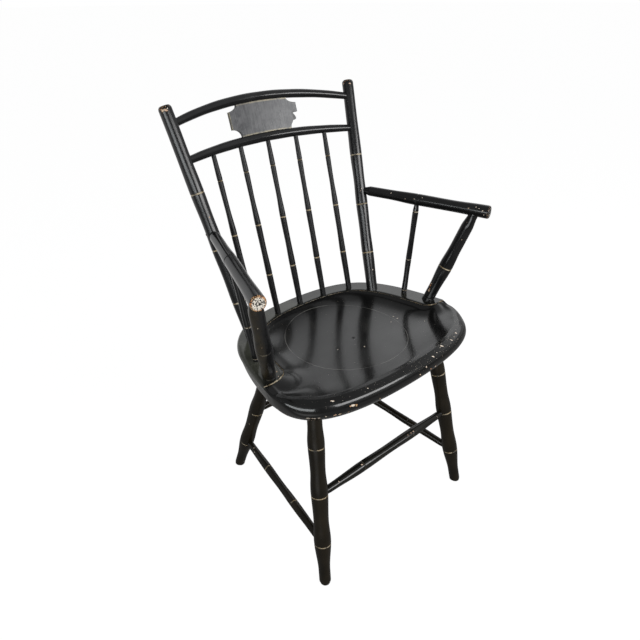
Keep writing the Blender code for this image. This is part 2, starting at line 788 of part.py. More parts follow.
def tablet_rings(lower, upper, grow=0.0):
    """Rings across the tablet, which follows the bow of the two rods."""
    half = TABLET_THICKNESS / 2 + grow
    step = 0.001
    rings = []
    for x, low_gap, high_gap in tablet_outline(grow):
        bottom = lower.at_x(x)
        rise = upper.at_x(x) - bottom
        along = lower.at_x(x + step) + upper.at_x(x + step) - lower.at_x(x - step) - upper.at_x(x - step)
        up = rise.normalized()
        forward = along.cross(up).normalized() * -half
        low = bottom + up * (lower.diameter / 2 + low_gap)
        high = bottom + rise - up * (upper.diameter / 2 + high_gap)
        rings.append([low - forward, low + forward, high + forward, high - forward])
    return rings


def build_seat(chair, material, sockets):
    """The plank seat with its blind sockets."""
    bm = bmesh.new()
    rows = loft(bm, seat_rings())
    bm.faces.remove(bm.faces.get(rows[-1]))
    middle = bm.verts.new((0, DISH_CENTRE_Y, SEAT_HEIGHT - DISH_DEPTH))
    inner = rows[-1]
    for index, vert in enumerate(inner):
        bm.faces.new((vert, inner[(index + 1) % len(inner)], middle))
    seat = add_object("seat", finish_mesh(bm, "seat"), chair, material=material)
    combine(seat, add_helper("seat_sockets", sockets, chair))


def clear_scene():
    """Start from nothing."""
    for item in list(bpy.data.objects):
        bpy.data.objects.remove(item, do_unlink=True)


def build_chair():
    """Work out every axis, then make each piece and cut the sockets that it stands in."""
    clear_scene()
    paints = {name: make_material(name, colour, roughness) for name, (colour, roughness) in PAINTS.items()}
    black = paints["black_paint"]
    brown = paints["brown_black_paint"]

    posts = {side: post_turning(side) for side, _ in SIDE_NAMES}
    upper = make_rod(posts, UPPER_ROD_DROP, UPPER_ROD_BOW, UPPER_ROD_RISE, UPPER_ROD_DIAMETER)
    lower = make_rod(posts, LOWER_ROD_DROP, LOWER_ROD_BOW, LOWER_ROD_RISE, LOWER_ROD_DIAMETER)
    spindles = [spindle_turning(index, lower) for index in range(SPINDLE_COUNT)]
    arms = {side: arm_turning(posts[side], side) for side, _ in SIDE_NAMES}
    arm_posts = {side: arm_post_turning(arms[side], side) for side, _ in SIDE_NAMES}
    arm_spindles = {side: arm_spindle_turning(arms[side], side) for side, _ in SIDE_NAMES}
    legs = {}
    for side, _ in SIDE_NAMES:
        front_x = side * (SEAT_HALF_WIDTH - FRONT_LEG_SIDE_INSET)
        rear_x = side * (SEAT_HALF_WIDTH - REAR_LEG_SIDE_INSET)
        front = Vector((front_x, SEAT_FRONT_Y + FRONT_LEG_EDGE_INSET, SEAT_BOTTOM))
        rear = Vector((rear_x, SEAT_BACK_Y - REAR_LEG_EDGE_INSET, SEAT_BOTTOM))
        legs["front", side] = leg_turning(front, FRONT_SPLAY_X, FRONT_SPLAY_Y)
        legs["rear", side] = leg_turning(rear, REAR_SPLAY_X, REAR_SPLAY_Y)
    cross = ((FRONT_STRETCHER_HEIGHT, FRONT_STRETCHER_HEIGHT), FRONT_STRETCHER_NODE, FRONT_STRETCHER_WAIST)
    along = (SIDE_STRETCHER_NODE, SIDE_STRETCHER_WAIST, LONG_STRETCHER_NODE_OFFSET)
    level = (SIDE_STRETCHER_HEIGHT, SIDE_STRETCHER_HEIGHT)
    sloping = (RIGHT_STRETCHER_REAR_HEIGHT, SIDE_STRETCHER_HEIGHT)
    ends = {
        "front": (("front", -1), ("front", 1), *cross, LONG_STRETCHER_NODE_OFFSET),
        "rear": (("rear", -1), ("rear", 1), *cross, REAR_STRETCHER_NODE_OFFSET),
        "left": (("rear", -1), ("front", -1), level, *along),
        "right": (("rear", 1), ("front", 1), sloping, *along),
    }
    stretchers = {}
    for name, (first, second, *sizes) in ends.items():
        stretchers[name] = stretcher_turning(legs[first], legs[second], *sizes)

    # The chair's origin is on the floor, under the middle of its outline
    back_reach = upper.at_x(0).y + upper.diameter / 2
    chair = bpy.data.objects.new("chair", None)
    bpy.context.scene.collection.objects.link(chair)
    chair.location = (0, -(back_reach + SEAT_FRONT_Y) / 2, 0)

    # Seat
    standing = list(posts.values()) + spindles + list(arm_posts.values()) + list(arm_spindles.values())
    sockets = [turned_cutter(piece, piece.stations[0][0] - CLEARANCE, SOCKET_LIP) for piece in standing]
    sockets += [turned_cutter(leg, -LEG_TENON_LENGTH - CLEARANCE, SOCKET_LIP) for leg in legs.values()]
    build_seat(chair, paints["seat_paint"], sockets)

    # Legs and stretchers
    leg_sockets = {key: [] for key in legs}
    for name, (first, second, *_) in ends.items():
        piece = stretchers[name]
        length = (piece.end - piece.start).length
        reach = STRETCHER_NECK_OFFSET + SOCKET_LIP
        leg_sockets[first].append(turned_cutter(piece, STRETCHER_TENON_STOP - CLEARANCE, reach))
        deep = length - STRETCHER_TENON_STOP + CLEARANCE
        leg_sockets[second].append(turned_cutter(piece, length - reach, deep))
        add_turning(f"stretcher_{name}", piece, chair, brown)
    for (row, side), leg in legs.items():
        name = f"leg_{row}_{dict(SIDE_NAMES)[side]}"
        item = add_turning(name, leg, chair, brown, floor_trim=True)
        combine(item, add_helper(f"{name}_sockets", leg_sockets[row, side], chair))

    # Rods, tablet and spindles
    pegs = {}
    for label, rod in (("upper_rod", upper), ("lower_rod", lower)):
        for side, word in SIDE_NAMES:
            joint = rod.right_end if side > 0 else rod.left_end
            peg = peg_turning(posts[side], joint, rod.end_direction(side))
            pegs[f"{label}_peg_{word}"] = (label, side, peg)
        past = rod.past(ROD_TENON_PAST_AXIS)
        bm = bmesh.new()
        loft(bm, rod.rings(-past, 1 + past, ROD_STEPS))
        item = add_object(label, finish_mesh(bm, label), chair, material=black)
        cuts = [tablet_rings(lower, upper, CLEARANCE)]
        cuts += [peg_cutter(peg) for owner, _, peg in pegs.values() if owner == label]
        if rod is lower:
            for piece in spindles:
                deep = piece.stations[-1][0] + CLEARANCE
                cuts.append(turned_cutter(piece, deep - lower.diameter - SOCKET_LIP, deep))
        combine(item, add_helper(f"{label}_sockets", cuts, chair))
    bm = bmesh.new()
    loft(bm, tablet_rings(lower, upper))
    add_object("tablet", finish_mesh(bm, "tablet"), chair, material=paints["tablet_paint"])
    for index, piece in enumerate(spindles):
        add_turning(f"spindle_{index + 1}", piece, chair, black)

    # Arms, with their ends hollowed to fit round the posts
    for side, word in SIDE_NAMES:
        arm = arms[side]
        post = posts[side]
        pegs[f"arm_peg_{word}"] = ("arm", side, peg_turning(post, arm.start, -arm.axis()))
        item = add_turning(f"arm_{word}", arm, chair, black)
        height = (arm.start - post.start).length
        cope = turned_cutter(post, height - ARM_REAR_DIAMETER, height + ARM_REAR_DIAMETER)
        combine(item, add_helper(f"arm_{word}_cope", [cope], chair))
        inner = ARM_REAR_DIAMETER + POST_DIAMETER
        tenon = [(-ARM_TENON_PAST_AXIS, ARM_TENON_DIAMETER / 2), (inner, ARM_TENON_DIAMETER / 2)]
        tenon_piece = Turning(arm.start, arm.end, tenon, ROD_SIDES)
        placed = tenon_piece.matrix()
        rings = [[placed @ point for point in ring] for ring in turned_rings(tenon, ROD_SIDES)]
        combine(item, add_helper(f"arm_{word}_tenon", [rings], chair), 'UNION')
        cuts = [peg_cutter(pegs[f"arm_peg_{word}"][2])]
        for piece in (arm_posts[side], arm_spindles[side]):
            deep = piece.stations[-1][0] + CLEARANCE
            cuts.append(turned_cutter(piece, deep - ARM_FRONT_DIAMETER - SOCKET_LIP, deep))
        combine(item, add_helper(f"arm_{word}_sockets", cuts, chair))
        add_turning(f"arm_post_{word}", arm_posts[side], chair, black)
        add_turning(f"arm_spindle_{word}", arm_spindles[side], chair, black)

        # Back post with the sockets of both rods and the arm, then the peg holes across them
        item = add_turning(f"back_post_{word}", post, chair, black)
        cuts = []
        for rod in (upper, lower):
            past = rod.past(ROD_TENON_PAST_AXIS + CLEARANCE)
            inside = rod.past(POST_NODE_DIAMETER)
            span = (-past, inside) if side < 0 else (1 - inside, 1 + past)
            cuts.append(rod.rings(*span, ROD_SOCKET_STEPS, CLEARANCE))
        cuts.append(turned_cutter(tenon_piece, -ARM_TENON_PAST_AXIS - CLEARANCE, POST_NODE_DIAMETER))
        combine(item, add_helper(f"back_post_{word}_sockets", cuts, chair))
        holes = [peg_cutter(peg) for _, owner_side, peg in pegs.values() if owner_side == side]
        combine(item, add_helper(f"back_post_{word}_peg_holes", holes, chair))

    for name, (_, _, peg) in pegs.items():
        add_turning(name, peg, chair, paints["peg_paint"])


build_chair()
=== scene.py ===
"""Looks of the bamboo-turned Windsor armchair: turned meshes, worn black paint, studio light and camera.

Lengths are metres. +Z is up, the chair faces -Y, and left is -X, as seen from the front.
Points are written in the seat's own frame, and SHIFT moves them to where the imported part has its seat.
"""
import math
import zlib
from dataclasses import dataclass, replace
from functools import partial

import bmesh
import bpy
import numpy as np
from mathutils import Matrix, Vector
from mathutils.bvhtree import BVHTree


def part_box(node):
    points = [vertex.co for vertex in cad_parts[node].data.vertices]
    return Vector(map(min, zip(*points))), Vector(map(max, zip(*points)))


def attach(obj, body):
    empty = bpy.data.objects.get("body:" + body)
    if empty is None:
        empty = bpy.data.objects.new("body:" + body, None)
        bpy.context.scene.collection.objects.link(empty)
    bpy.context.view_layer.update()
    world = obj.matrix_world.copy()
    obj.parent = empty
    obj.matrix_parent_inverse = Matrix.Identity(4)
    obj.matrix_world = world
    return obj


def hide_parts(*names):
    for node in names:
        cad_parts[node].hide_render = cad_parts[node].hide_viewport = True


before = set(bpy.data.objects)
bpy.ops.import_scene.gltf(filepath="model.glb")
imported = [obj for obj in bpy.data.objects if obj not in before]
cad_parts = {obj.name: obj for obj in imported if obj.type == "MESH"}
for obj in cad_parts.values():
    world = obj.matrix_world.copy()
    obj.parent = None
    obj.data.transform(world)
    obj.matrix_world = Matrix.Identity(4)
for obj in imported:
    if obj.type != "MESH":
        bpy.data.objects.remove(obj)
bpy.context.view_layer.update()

# Camera, worked out from the photograph, with its yaw, pitch and roll in radians
CAMERA_PLACE = (-0.7359, -0.7472, 1.0582)
CAMERA_TURN = (-0.7245, -0.5190, 0.0081)
FOCAL_PIXELS = 590
PICTURE_PIXELS = 640
SENSOR_MM = 36

# Seat plank
SEAT_TOP = 0.440
SEAT_BOTTOM = 0.391
SEAT_HALF_WIDTH = 0.2487
SEAT_WIDEST_Y = -0.052
SEAT_BACK_Y = 0.1816
SEAT_FRONT_Y = -0.186
SEAT_BACK_FLAT = 0.1785
SEAT_SIDE_TAPER = 0.0302
SEAT_SIDE_RUN = 0.1723
SEAT_FRONT_RUN = 0.0655
SEAT_FRONT_FLAT = 0.2403
SEAT_UNDERCUT = 0.0149
SEAT_LOWER_BULGE_INSET = 0.0070
SEAT_LOWER_BULGE = 0.0073
SEAT_UPPER_BULGE = 0.0090
SEAT_SHOULDER_INSET = 0.0009
SEAT_EDGE_ROUND = 0.003
LEFT_OVERHANG = 0.0052
FRONT_BULGE = 0.0230
FRONT_SHOULDER_INSET = 0.0054
FRONT_SHOULDER_DROP = 0.0072
FRONT_ROLL = 0.018
FRONT_DROP = 0.006
FRONT_DROP_BLEND = 0.1
FRONT_ROLL_START = 0.12
FRONT_ROLL_BLEND = 0.3
DISH_DEPTH = 0.0155
DISH_RUN = 0.200
DISH_LIP_RUN = 0.017
DISH_LIP_SHARE = 0.65
DISH_SWEEP = 0.29
DISH_LOW_Y = 0.0
DISH_CENTRE = (0, -0.020)
GROOVE_WIDTH = 0.003
GROOVE_DEPTH = 0.0016
DECK_WIDTH_BACK = 0.0405
DECK_WIDTH_SIDE = 0.0515
GROOVE_TURN = 0.032
GROOVE_END_Y = {-1: -0.0485, 1: -0.0560}
GROOVE_END_RUN = 0.003
GROOVE_RIM_GAP = 1.2
GROOVE_ENDED_GAP = 2.0

# Where the turned pieces stand, on the right half
FRONT_LEG = ((0.1714, -0.0889, SEAT_BOTTOM), (0.2142, -0.1673, 0))
REAR_LEG = ((0.1113, 0.0997, SEAT_BOTTOM), (0.1446, 0.2330, 0))
POST_BASE_Y = 0.0927
POST_EDGE_INSET = 0.0366
POST_RISE = (0.0522, 0.1472, 0.4345)
SPINDLE_SPACING = 0.0656
SPINDLE_TOP_SPACING = 0.0704
SPINDLE_EDGE_INSET = 0.0318
SPINDLE_COUNT = 5
ARM_HEIGHT = 0.2138
ARM_RUN = (0.0986, -0.2767, -0.0069)
ARM_POST_BASE_Y = -0.0291
ARM_POST_EDGE_INSET = 0.0206
ARM_POST_SETBACK = 0.0287
ARM_SPINDLE_BASE_Y = 0.0297
ARM_SPINDLE_EDGE_INSET = 0.0213
ARM_SPINDLE_SETBACK = 0.1576
CROSS_STRETCHER_HEIGHT = 0.1972
SIDE_STRETCHER_HEIGHT = 0.0912
RIGHT_STRETCHER_REAR_HEIGHT = 0.170

# Rods and tablet
UPPER_ROD_DROP = 0.0342
LOWER_ROD_DROP = 0.1006
UPPER_ROD_BOW = (0, 0.0357, 0.0204)
LOWER_ROD_BOW = (0, 0.0345, 0.0080)
UPPER_ROD_DIAMETER = 0.0177
LOWER_ROD_DIAMETER = 0.0185
ROD_END_DIAMETER = 0.0140
ROD_PAST_POST = 0.005
TABLET_BODY = 0.0617
TABLET_EAR = 0.0830
TABLET_THICKNESS = 0.006
TABLET_OFFSET = 0.0014
TABLET_SLOT = 0.003
TABLET_TOP_NOTCH = 0.0090
TABLET_BOTTOM_NOTCH = 0.0165

# Turned details
SCORE_DEPTH = 0.0008
SCORE_HALF_WIDTH = 0.0009
GOLD_HALF_WIDTH = 0.0015
STATION_STEP = 0.003
RING_STATIONS = np.linspace(-0.0024, 0.0024, 13)
TIP_STEPS = 8
TIP_WEAR_REACH = 0.3
CAP_SHARES = (0.8, 0.5, 0.1)
SHARP_ANGLE = math.radians(50)

# Hand turning is never quite round: strength, lobes round the piece and waves along it
WOBBLE = 0.00012
WOBBLE_WAVES = ((1, 2, 9), (1, 3, -31), (0.7, 1, 67))

SHIFT = Vector((0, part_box("seat")[0].y - SEAT_FRONT_Y, 0))
SIDES = ((-1, "left"), (1, "right"))
UP = Vector((0, 0, 1))
FIELDS = ("wear", "gold", "cream", "rub_and_sheen", "haze", "upward", "across")

# Chips that the photograph shows: pixel column and row, radius in millimetres, 0 for orange wood to 1 for
# cream, and how many times wider than tall the chip is in the picture
CHIPS = {
    "seat": [
        (308, 418.4, 1.3, 0.9, 3), (314, 418.6, 1.4, 1, 3), (319, 418.2, 1.2, 0.9, 2),
        (326, 416.6, 1.1, 1, 1.2), (335, 415.2, 1.5, 0.3, 4), (340, 414.2, 1.5, 0.4, 3),
        (348.6, 412, 1.1, 0.1, 1.6), (353, 405.4, 2.4, 0.9, 2), (356.6, 405.2, 2.2, 0, 1.2),
        (350.6, 406.2, 1.4, 0.1, 1.5), (380, 398.6, 1, 0.3, 2), (420.4, 374.4, 1.6, 0.5, 1),
        (435.5, 366.4, 1.9, 0.5, 1.8), (426.4, 367, 1.5, 1, 0.8), (431, 368.6, 1.2, 0.2, 2),
        (367.8, 388.4, 1.3, 1, 1), (332.5, 401.2, 1.4, 1, 2.4), (337.7, 349.5, 1.3, 1, 1),
        (364.5, 346.5, 1.5, 1, 1), (391, 322, 0.9, 1, 1), (393.4, 316.4, 0.8, 0.9, 2.5),
        (397.5, 318.4, 0.8, 0.9, 2.5), (424.5, 321, 0.8, 0.9, 1), (442, 346, 1.9, 1, 2.2),
        (440, 347.4, 1, 0.9, 1.6), (433, 356.5, 1.6, 1, 2), (437, 352.6, 0.9, 0.9, 1.4),
        (456, 333, 1.5, 1, 2), (451.5, 340, 1.4, 1, 2), (454, 336.4, 0.8, 0.9, 1.2),
        (258.2, 386.4, 2.4, 0.8, 1), (276.6, 371.6, 1.6, 0.05, 0.6), (278.6, 376.4, 1.2, 0.6, 0.6),
    ],
    "arm_post_right": [
        (431.4, 283.4, 1.6, 0.3, 0.7), (430.2, 285.4, 2.4, 0, 0.7), (429.6, 288.4, 1.5, 0.1, 0.8),
        (428.8, 290.4, 2.2, 0.4, 1), (461.8, 240, 0.8, 0.6, 1), (467, 222, 0.8, 0.5, 0.5),
    ],
    "back_post_right": [
        (343.4, 83.6, 1.2, 0.5, 3), (349.8, 83.4, 1.1, 0.5, 3), (372.7, 269.5, 1.2, 1, 1),
        (369.4, 280.2, 1.4, 1, 0.4), (361.5, 188.5, 1.2, 0.5, 0.6), (360.6, 191, 1, 0.5, 0.6),
    ],
    "back_post_left": [
        (209.7, 217.2, 1.3, 0.3, 1), (162.4, 110.4, 2.6, 0.35, 1.2), (165.8, 110.2, 2, 0.4, 1.6),
        (167.4, 108.3, 1.2, 1, 1),
    ],
    "arm_right": [
        (391, 193, 0.9, 1, 1.5), (405.2, 198.9, 0.9, 0.8, 1), (422.2, 197.6, 1, 1, 1),
        (414.2, 199, 1, 0.7, 1), (476, 207, 0.9, 0.8, 2), (479, 208.4, 0.9, 0.8, 1.6),
        (482.5, 211, 1.3, 0.8, 1), (483.7, 215, 1, 0.9, 1), (468.5, 208.3, 0.9, 0.5, 1.5),
    ],
    "arm_post_left": [(257.8, 328.7, 0.9, 0.7, 1), (262, 348, 0.8, 0.5, 0.5)],
    "stretcher_left": [(254, 448, 1.2, 0.9, 0.6), (254.6, 452, 1.2, 0.9, 0.6)],
    "stretcher_front": [
        (413.5, 431.3, 1.1, 0.5, 1.6), (411, 433, 0.9, 0.5, 1.4), (408, 435, 0.9, 0.6, 1.4),
        (362, 464.6, 1.2, 0.6, 2), (437, 416.5, 0.9, 0.9, 1), (339, 481.5, 0.9, 0.7, 1.5),
    ],
    "leg_rear_left": [(249, 424, 0.9, 0.7, 1)],
}


def place(point, side=1):
    """A point of the seat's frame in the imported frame, mirrored for the left side."""
    return Vector((side * point[0], point[1], point[2])) + SHIFT


def add_object(name, data):
    """A new object in the scene."""
    made = bpy.data.objects.new(name, data)
    bpy.context.scene.collection.objects.link(made)
    return made


def new_mesh(node, points, faces):
    mesh = bpy.data.meshes.new(node)
    mesh.from_pydata(points, [], faces)
    return mesh


# Camera
def camera_axes():
    """The camera's right, down and forward directions."""
    yaw, pitch, roll = CAMERA_TURN
    forward = Vector((-math.sin(yaw) * math.cos(pitch), math.cos(yaw) * math.cos(pitch), math.sin(pitch)))
    level = Vector((math.cos(yaw), math.sin(yaw), 0))
    down = forward.cross(level)
    right = level * math.cos(roll) + down * math.sin(roll)
    return right, down * math.cos(roll) - level * math.sin(roll), forward


def pixel_ray(column, row):
    """The direction from the camera through a pixel of the photograph."""
    right, down, forward = camera_axes()
    across = (column - PICTURE_PIXELS / 2) / FOCAL_PIXELS
    below = (row - PICTURE_PIXELS / 2) / FOCAL_PIXELS
    return (right * across + down * below + forward).normalized()


def add_camera():
    right, down, forward = camera_axes()
    data = bpy.data.cameras.new("camera")
    data.sensor_width = SENSOR_MM
    data.lens = FOCAL_PIXELS * SENSOR_MM / PICTURE_PIXELS
    camera = add_object("camera", data)
    turn = Matrix((right, -down, -forward)).transposed().to_4x4()
    camera.matrix_world = Matrix.Translation(place(CAMERA_PLACE)) @ turn
    bpy.context.scene.camera = camera


# Paint
GOLD_PAINT = (0.36, 0.27, 0.15)
PALE_GOLD = (0.52, 0.45, 0.33)
ORANGE_WOOD = (0.50, 0.20, 0.06)
TAN_WOOD = (0.58, 0.38, 0.20)
CREAM_WOOD = (0.86, 0.80, 0.70)
CHIP_EDGE_RAGGED = 2.6
BRUSH_SHARE = 0.4
GLOSS_BELOW = 0.04
GLOSS_ABOVE = 0.06
BARE_ROUGHNESS = 0.3
VARNISH_ROUGHNESS = 0.10
RELIEF_STRENGTH = 0.12
RELIEF_DEPTH = 0.0005

# Noises of the paint: waves per metre, detail and roughness
MOTTLE = (14, 4, 0.6)
BRUSH_MARKS = (420, 3, 0.5)
CHIP_EDGES = (420, 4, 0.6)
LINE_BREAKS = (110, 3, 0.5)
LINE_TONES = (190, 2, 0.5)
WOOD_TONES = (150, 3, 0.5)
RIPPLES = (240, 3, 0.6)
RING_BREAKS = (22, 3, 0.5)
GRIT = (520, 2, 0.5)
TABLET_CLOUDS = (70, 4, 0.65)
TABLET_LINE_BREAKS = (90, 2, 0.5)
LIT_BROWN_PATCHES = (60, 3, 0.5)

# Marks of the seat and the tablet, whose grey face is partly painted sheen, and the painted lit side of
# the left arm post
SEAT_RING_CENTRE = (-0.0063, -0.0041)
SEAT_RING_RADIUS = 0.1261
SEAT_RING_HALF_WIDTH = 0.0011
SEAT_RING_TONE = (0.20, 0.195, 0.18)
DECK_HAZE = (0.070, 0.072, 0.056)
GRIT_RANGE = (0.790, 0.815)
GRIT_BARE = 0.8
RUBBED_GRIT = 0.1
# Greys of the tablet's face: partly rubbed paint, partly painted sheen of the front window
TABLET_GREY_AND_SHEEN = (0.065, 0.066, 0.071)
TABLET_PALE_GREY_AND_SHEEN = (0.130, 0.130, 0.134)
TABLET_LINE = (0.34, 0.30, 0.21)
# Painted light: the left arm post is brown on the side that faces the side window
LIT_SIDE_DIRECTION = (-0.9, 0.1, 0.2)
PAINTED_LIT_BROWN = (0.030, 0.023, 0.012)


@dataclass
class Paint:
    """One kind of old paint: its darkest and palest tone, its gloss, how its brush marks run, and how
    much varnish and how strong ripples it has."""
    dark: tuple
    pale: tuple
    roughness: float
    specular: float
    grain: tuple = (1, 1, 0.06)
    varnish: float = 0
    ripple: float = 0


def is_socket(value):
    return isinstance(value, bpy.types.NodeSocket)


def feed(node, inputs):
    """Links or sets a node's inputs, each given by its name or its number."""
    for name, value in inputs.items():
        if is_socket(value):
            node.id_data.links.new(value, node.inputs[name])
        else:
            node.inputs[name].default_value = value


def add_node(tree, kind, inputs=None, **settings):
    """A shader node with its settings and its inputs."""
    node = tree.nodes.new(kind)
    for name, value in settings.items():
        setattr(node, name, value)
    feed(node, inputs or {})
    return node


def noise(vector, scale, detail, roughness):
    inputs = {"Vector": vector, "Scale": scale, "Detail": detail, "Roughness": roughness}
    return add_node(vector.id_data, "ShaderNodeTexNoise", inputs).outputs["Fac"]


def math_node(operation, first, second):
    """The result for two values, of which at least one is a socket."""
    tree = (first if is_socket(first) else second).id_data
    return add_node(tree, "ShaderNodeMath", {0: first, 1: second}, operation=operation).outputs[0]


plus = partial(math_node, "ADD")
minus = partial(math_node, "SUBTRACT")
times = partial(math_node, "MULTIPLY")
larger = partial(math_node, "MAXIMUM")


def vector_node(operation, first, second):
    """A vector node's result: a vector, or a number for the operations that give one."""
    node = add_node(first.id_data, "ShaderNodeVectorMath", {0: first, 1: second}, operation=operation)
    return node.outputs["Value" if operation in ("DOT_PRODUCT", "DISTANCE") else "Vector"]


dot = partial(vector_node, "DOT_PRODUCT")


def remap(value, low, high, to_low=0.0, to_high=1.0):
    """A value's smooth step from one number to another as it goes from low to high."""
    inputs = {"Value": value, "From Min": low, "From Max": high, "To Min": to_low, "To Max": to_high}
    node = add_node(value.id_data, "ShaderNodeMapRange", inputs, interpolation_type="SMOOTHSTEP")
    return node.outputs["Result"]


def mix(share, first, second):
    """A colour between two, each a socket or three numbers."""
    start, end = (one if is_socket(one) else (*one, 1) for one in (first, second))
    node = add_node(share.id_data, "ShaderNodeMix", {0: share, 6: start, 7: end}, data_type="RGBA")
    return node.outputs[2]


def field(tree, name):
    return add_node(tree, "ShaderNodeAttribute", attribute_name=name).outputs["Fac"]


def chip_fields(coords, chips, sideways):
    """How worn the surface is by chips, each stretched sideways, and how pale the wood is there."""
    wear, cream = 0.0, 0.0
    for centre, radius, tone, stretch in chips:
        away = vector_node("SUBTRACT", coords, tuple(centre))
        along = dot(away, tuple(sideways))
        less = times(math_node("POWER", along, 2), 1 - 1 / stretch ** 2)
        share = math_node("DIVIDE", minus(dot(away, away), less), 2 * radius ** 2)
        strength = larger(minus(1, share), 0)
        wear = larger(wear, strength)
        cream = larger(cream, times(strength, tone))
    return wear, cream


def paint_material(name, paint, chips=(), sideways=(1, 0, 0), extra=None):
    """Brushed old paint over wood, with painted score lines and chips that bare the wood."""
    material = bpy.data.materials.new(name)
    material.use_nodes = True
    tree = material.node_tree
    shader = tree.nodes["Principled BSDF"]
    coords = add_node(tree, "ShaderNodeTexCoord").outputs["Object"]
    mottle = noise(coords, *MOTTLE)
    streaks = noise(vector_node("MULTIPLY", coords, paint.grain), *BRUSH_MARKS)
    brushing = times(streaks, BRUSH_SHARE)

    # Masks of bare wood and of the painted lines
    wear, cream = field(tree, "wear"), field(tree, "cream")
    if chips:
        chipped, chip_cream = chip_fields(coords, chips, sideways)
        cream = larger(minus(cream, chipped), chip_cream)
        wear = larger(wear, chipped)
    ragged = minus(noise(coords, *CHIP_EDGES), 0.5)
    roughened = times(ragged, remap(wear, 0, 0.2, 0, CHIP_EDGE_RAGGED))
    bare = remap(plus(wear, roughened), 0.45, 0.55)
    broken = remap(noise(coords, *LINE_BREAKS), 0.25, 0.75, 0.35, 1.25)
    gold = remap(times(field(tree, "gold"), broken), 0.20, 0.75)

    # Colours
    shade = mix(remap(mottle, 0.3, 0.7), paint.dark, paint.pale)
    if extra:
        shade, more = extra(tree, coords, streaks, shade)
        bare = larger(bare, more)
    line_tone = remap(noise(coords, *LINE_TONES), 0.42, 0.60)
    lined = mix(gold, shade, mix(line_tone, GOLD_PAINT, PALE_GOLD))
    wood_tone = remap(noise(coords, *WOOD_TONES), 0.35, 0.65)
    wood = mix(cream, mix(wood_tone, ORANGE_WOOD, TAN_WOOD), CREAM_WOOD)

    # Gloss and relief
    smoothest, roughest = paint.roughness - GLOSS_BELOW, paint.roughness + GLOSS_ABOVE
    gloss = remap(plus(mottle, brushing), 0.45, 0.95, smoothest, roughest)
    gloss = plus(gloss, times(larger(bare, gold), BARE_ROUGHNESS))
    relief = minus(brushing, bare)
    if paint.ripple:
        relief = plus(relief, times(noise(coords, *RIPPLES), paint.ripple))
    depths = {"Strength": RELIEF_STRENGTH, "Distance": RELIEF_DEPTH, "Height": relief}
    normal = add_node(tree, "ShaderNodeBump", depths).outputs["Normal"]
    feed(shader, {
        "Base Color": mix(bare, lined, wood),
        "Roughness": gloss,
        "Specular IOR Level": paint.specular,
        "Coat Weight": paint.varnish,
        "Coat Roughness": VARNISH_ROUGHNESS,
        "Normal": normal,
    })
    if paint.varnish:
        feed(shader, {"Coat Normal": normal})
    return material


def seat_marks(tree, coords, streaks, shade):
    """The seat's faint round scratch, the dust on its deck, and specks where its paint is rubbed."""
    flat = vector_node("MULTIPLY", coords, (1, 1, 0))
    away = vector_node("DISTANCE", flat, tuple(place((*SEAT_RING_CENTRE, 0))))
    off = math_node("ABSOLUTE", minus(away, SEAT_RING_RADIUS), 0)
    line = remap(off, 0, SEAT_RING_HALF_WIDTH, 1, 0)
    broken = remap(noise(coords, *RING_BREAKS), 0.36, 0.60, 0.2, 0.85)
    dusty = times(field(tree, "haze"), remap(streaks, 0.3, 0.7, 0.75, 1))
    hazed = mix(dusty, shade, DECK_HAZE)
    marked = mix(times(line, broken), hazed, SEAT_RING_TONE)
    grit = plus(noise(coords, *GRIT), times(field(tree, "rub_and_sheen"), RUBBED_GRIT))
    return marked, remap(grit, *GRIT_RANGE, 0, GRIT_BARE)


def tablet_marks_and_sheen(tree, coords, streaks, shade):
    """The tablet's face is grey, partly rubbed paint and partly painted sheen of the front window, with a
    faint upright grain and a thin tan line along its edges.
    """
    cloudy = plus(times(streaks, 0.5), noise(coords, *TABLET_CLOUDS))
    grey = mix(remap(cloudy, 0.55, 0.95), TABLET_GREY_AND_SHEEN, TABLET_PALE_GREY_AND_SHEEN)
    upward = field(tree, "upward")
    top = remap(upward, 0.962, 0.975)
    bottom = remap(upward, 0.022, 0.038, 1, 0)
    left = remap(field(tree, "across"), -0.994, -0.984, 1, 0)
    lines = larger(larger(top, bottom), left)
    broken = remap(noise(coords, *TABLET_LINE_BREAKS), 0.30, 0.60, 0.25, 1)
    outlined = mix(times(lines, broken), grey, TABLET_LINE)
    return mix(field(tree, "rub_and_sheen"), shade, outlined), 0.0


def painted_lit_side(tree, coords, streaks, shade):
    """Painted light: a patchy dark brown on the side that faces left, toward the side window, and nothing
    more bared.
    """
    normal = add_node(tree, "ShaderNodeNewGeometry").outputs["Normal"]
    facing = remap(dot(normal, LIT_SIDE_DIRECTION), -0.1, 0.7)
    patchy = remap(noise(coords, *LIT_BROWN_PATCHES), 0.3, 0.6, 0.35, 1)
    return mix(times(facing, patchy), shade, PAINTED_LIT_BROWN), 0.0


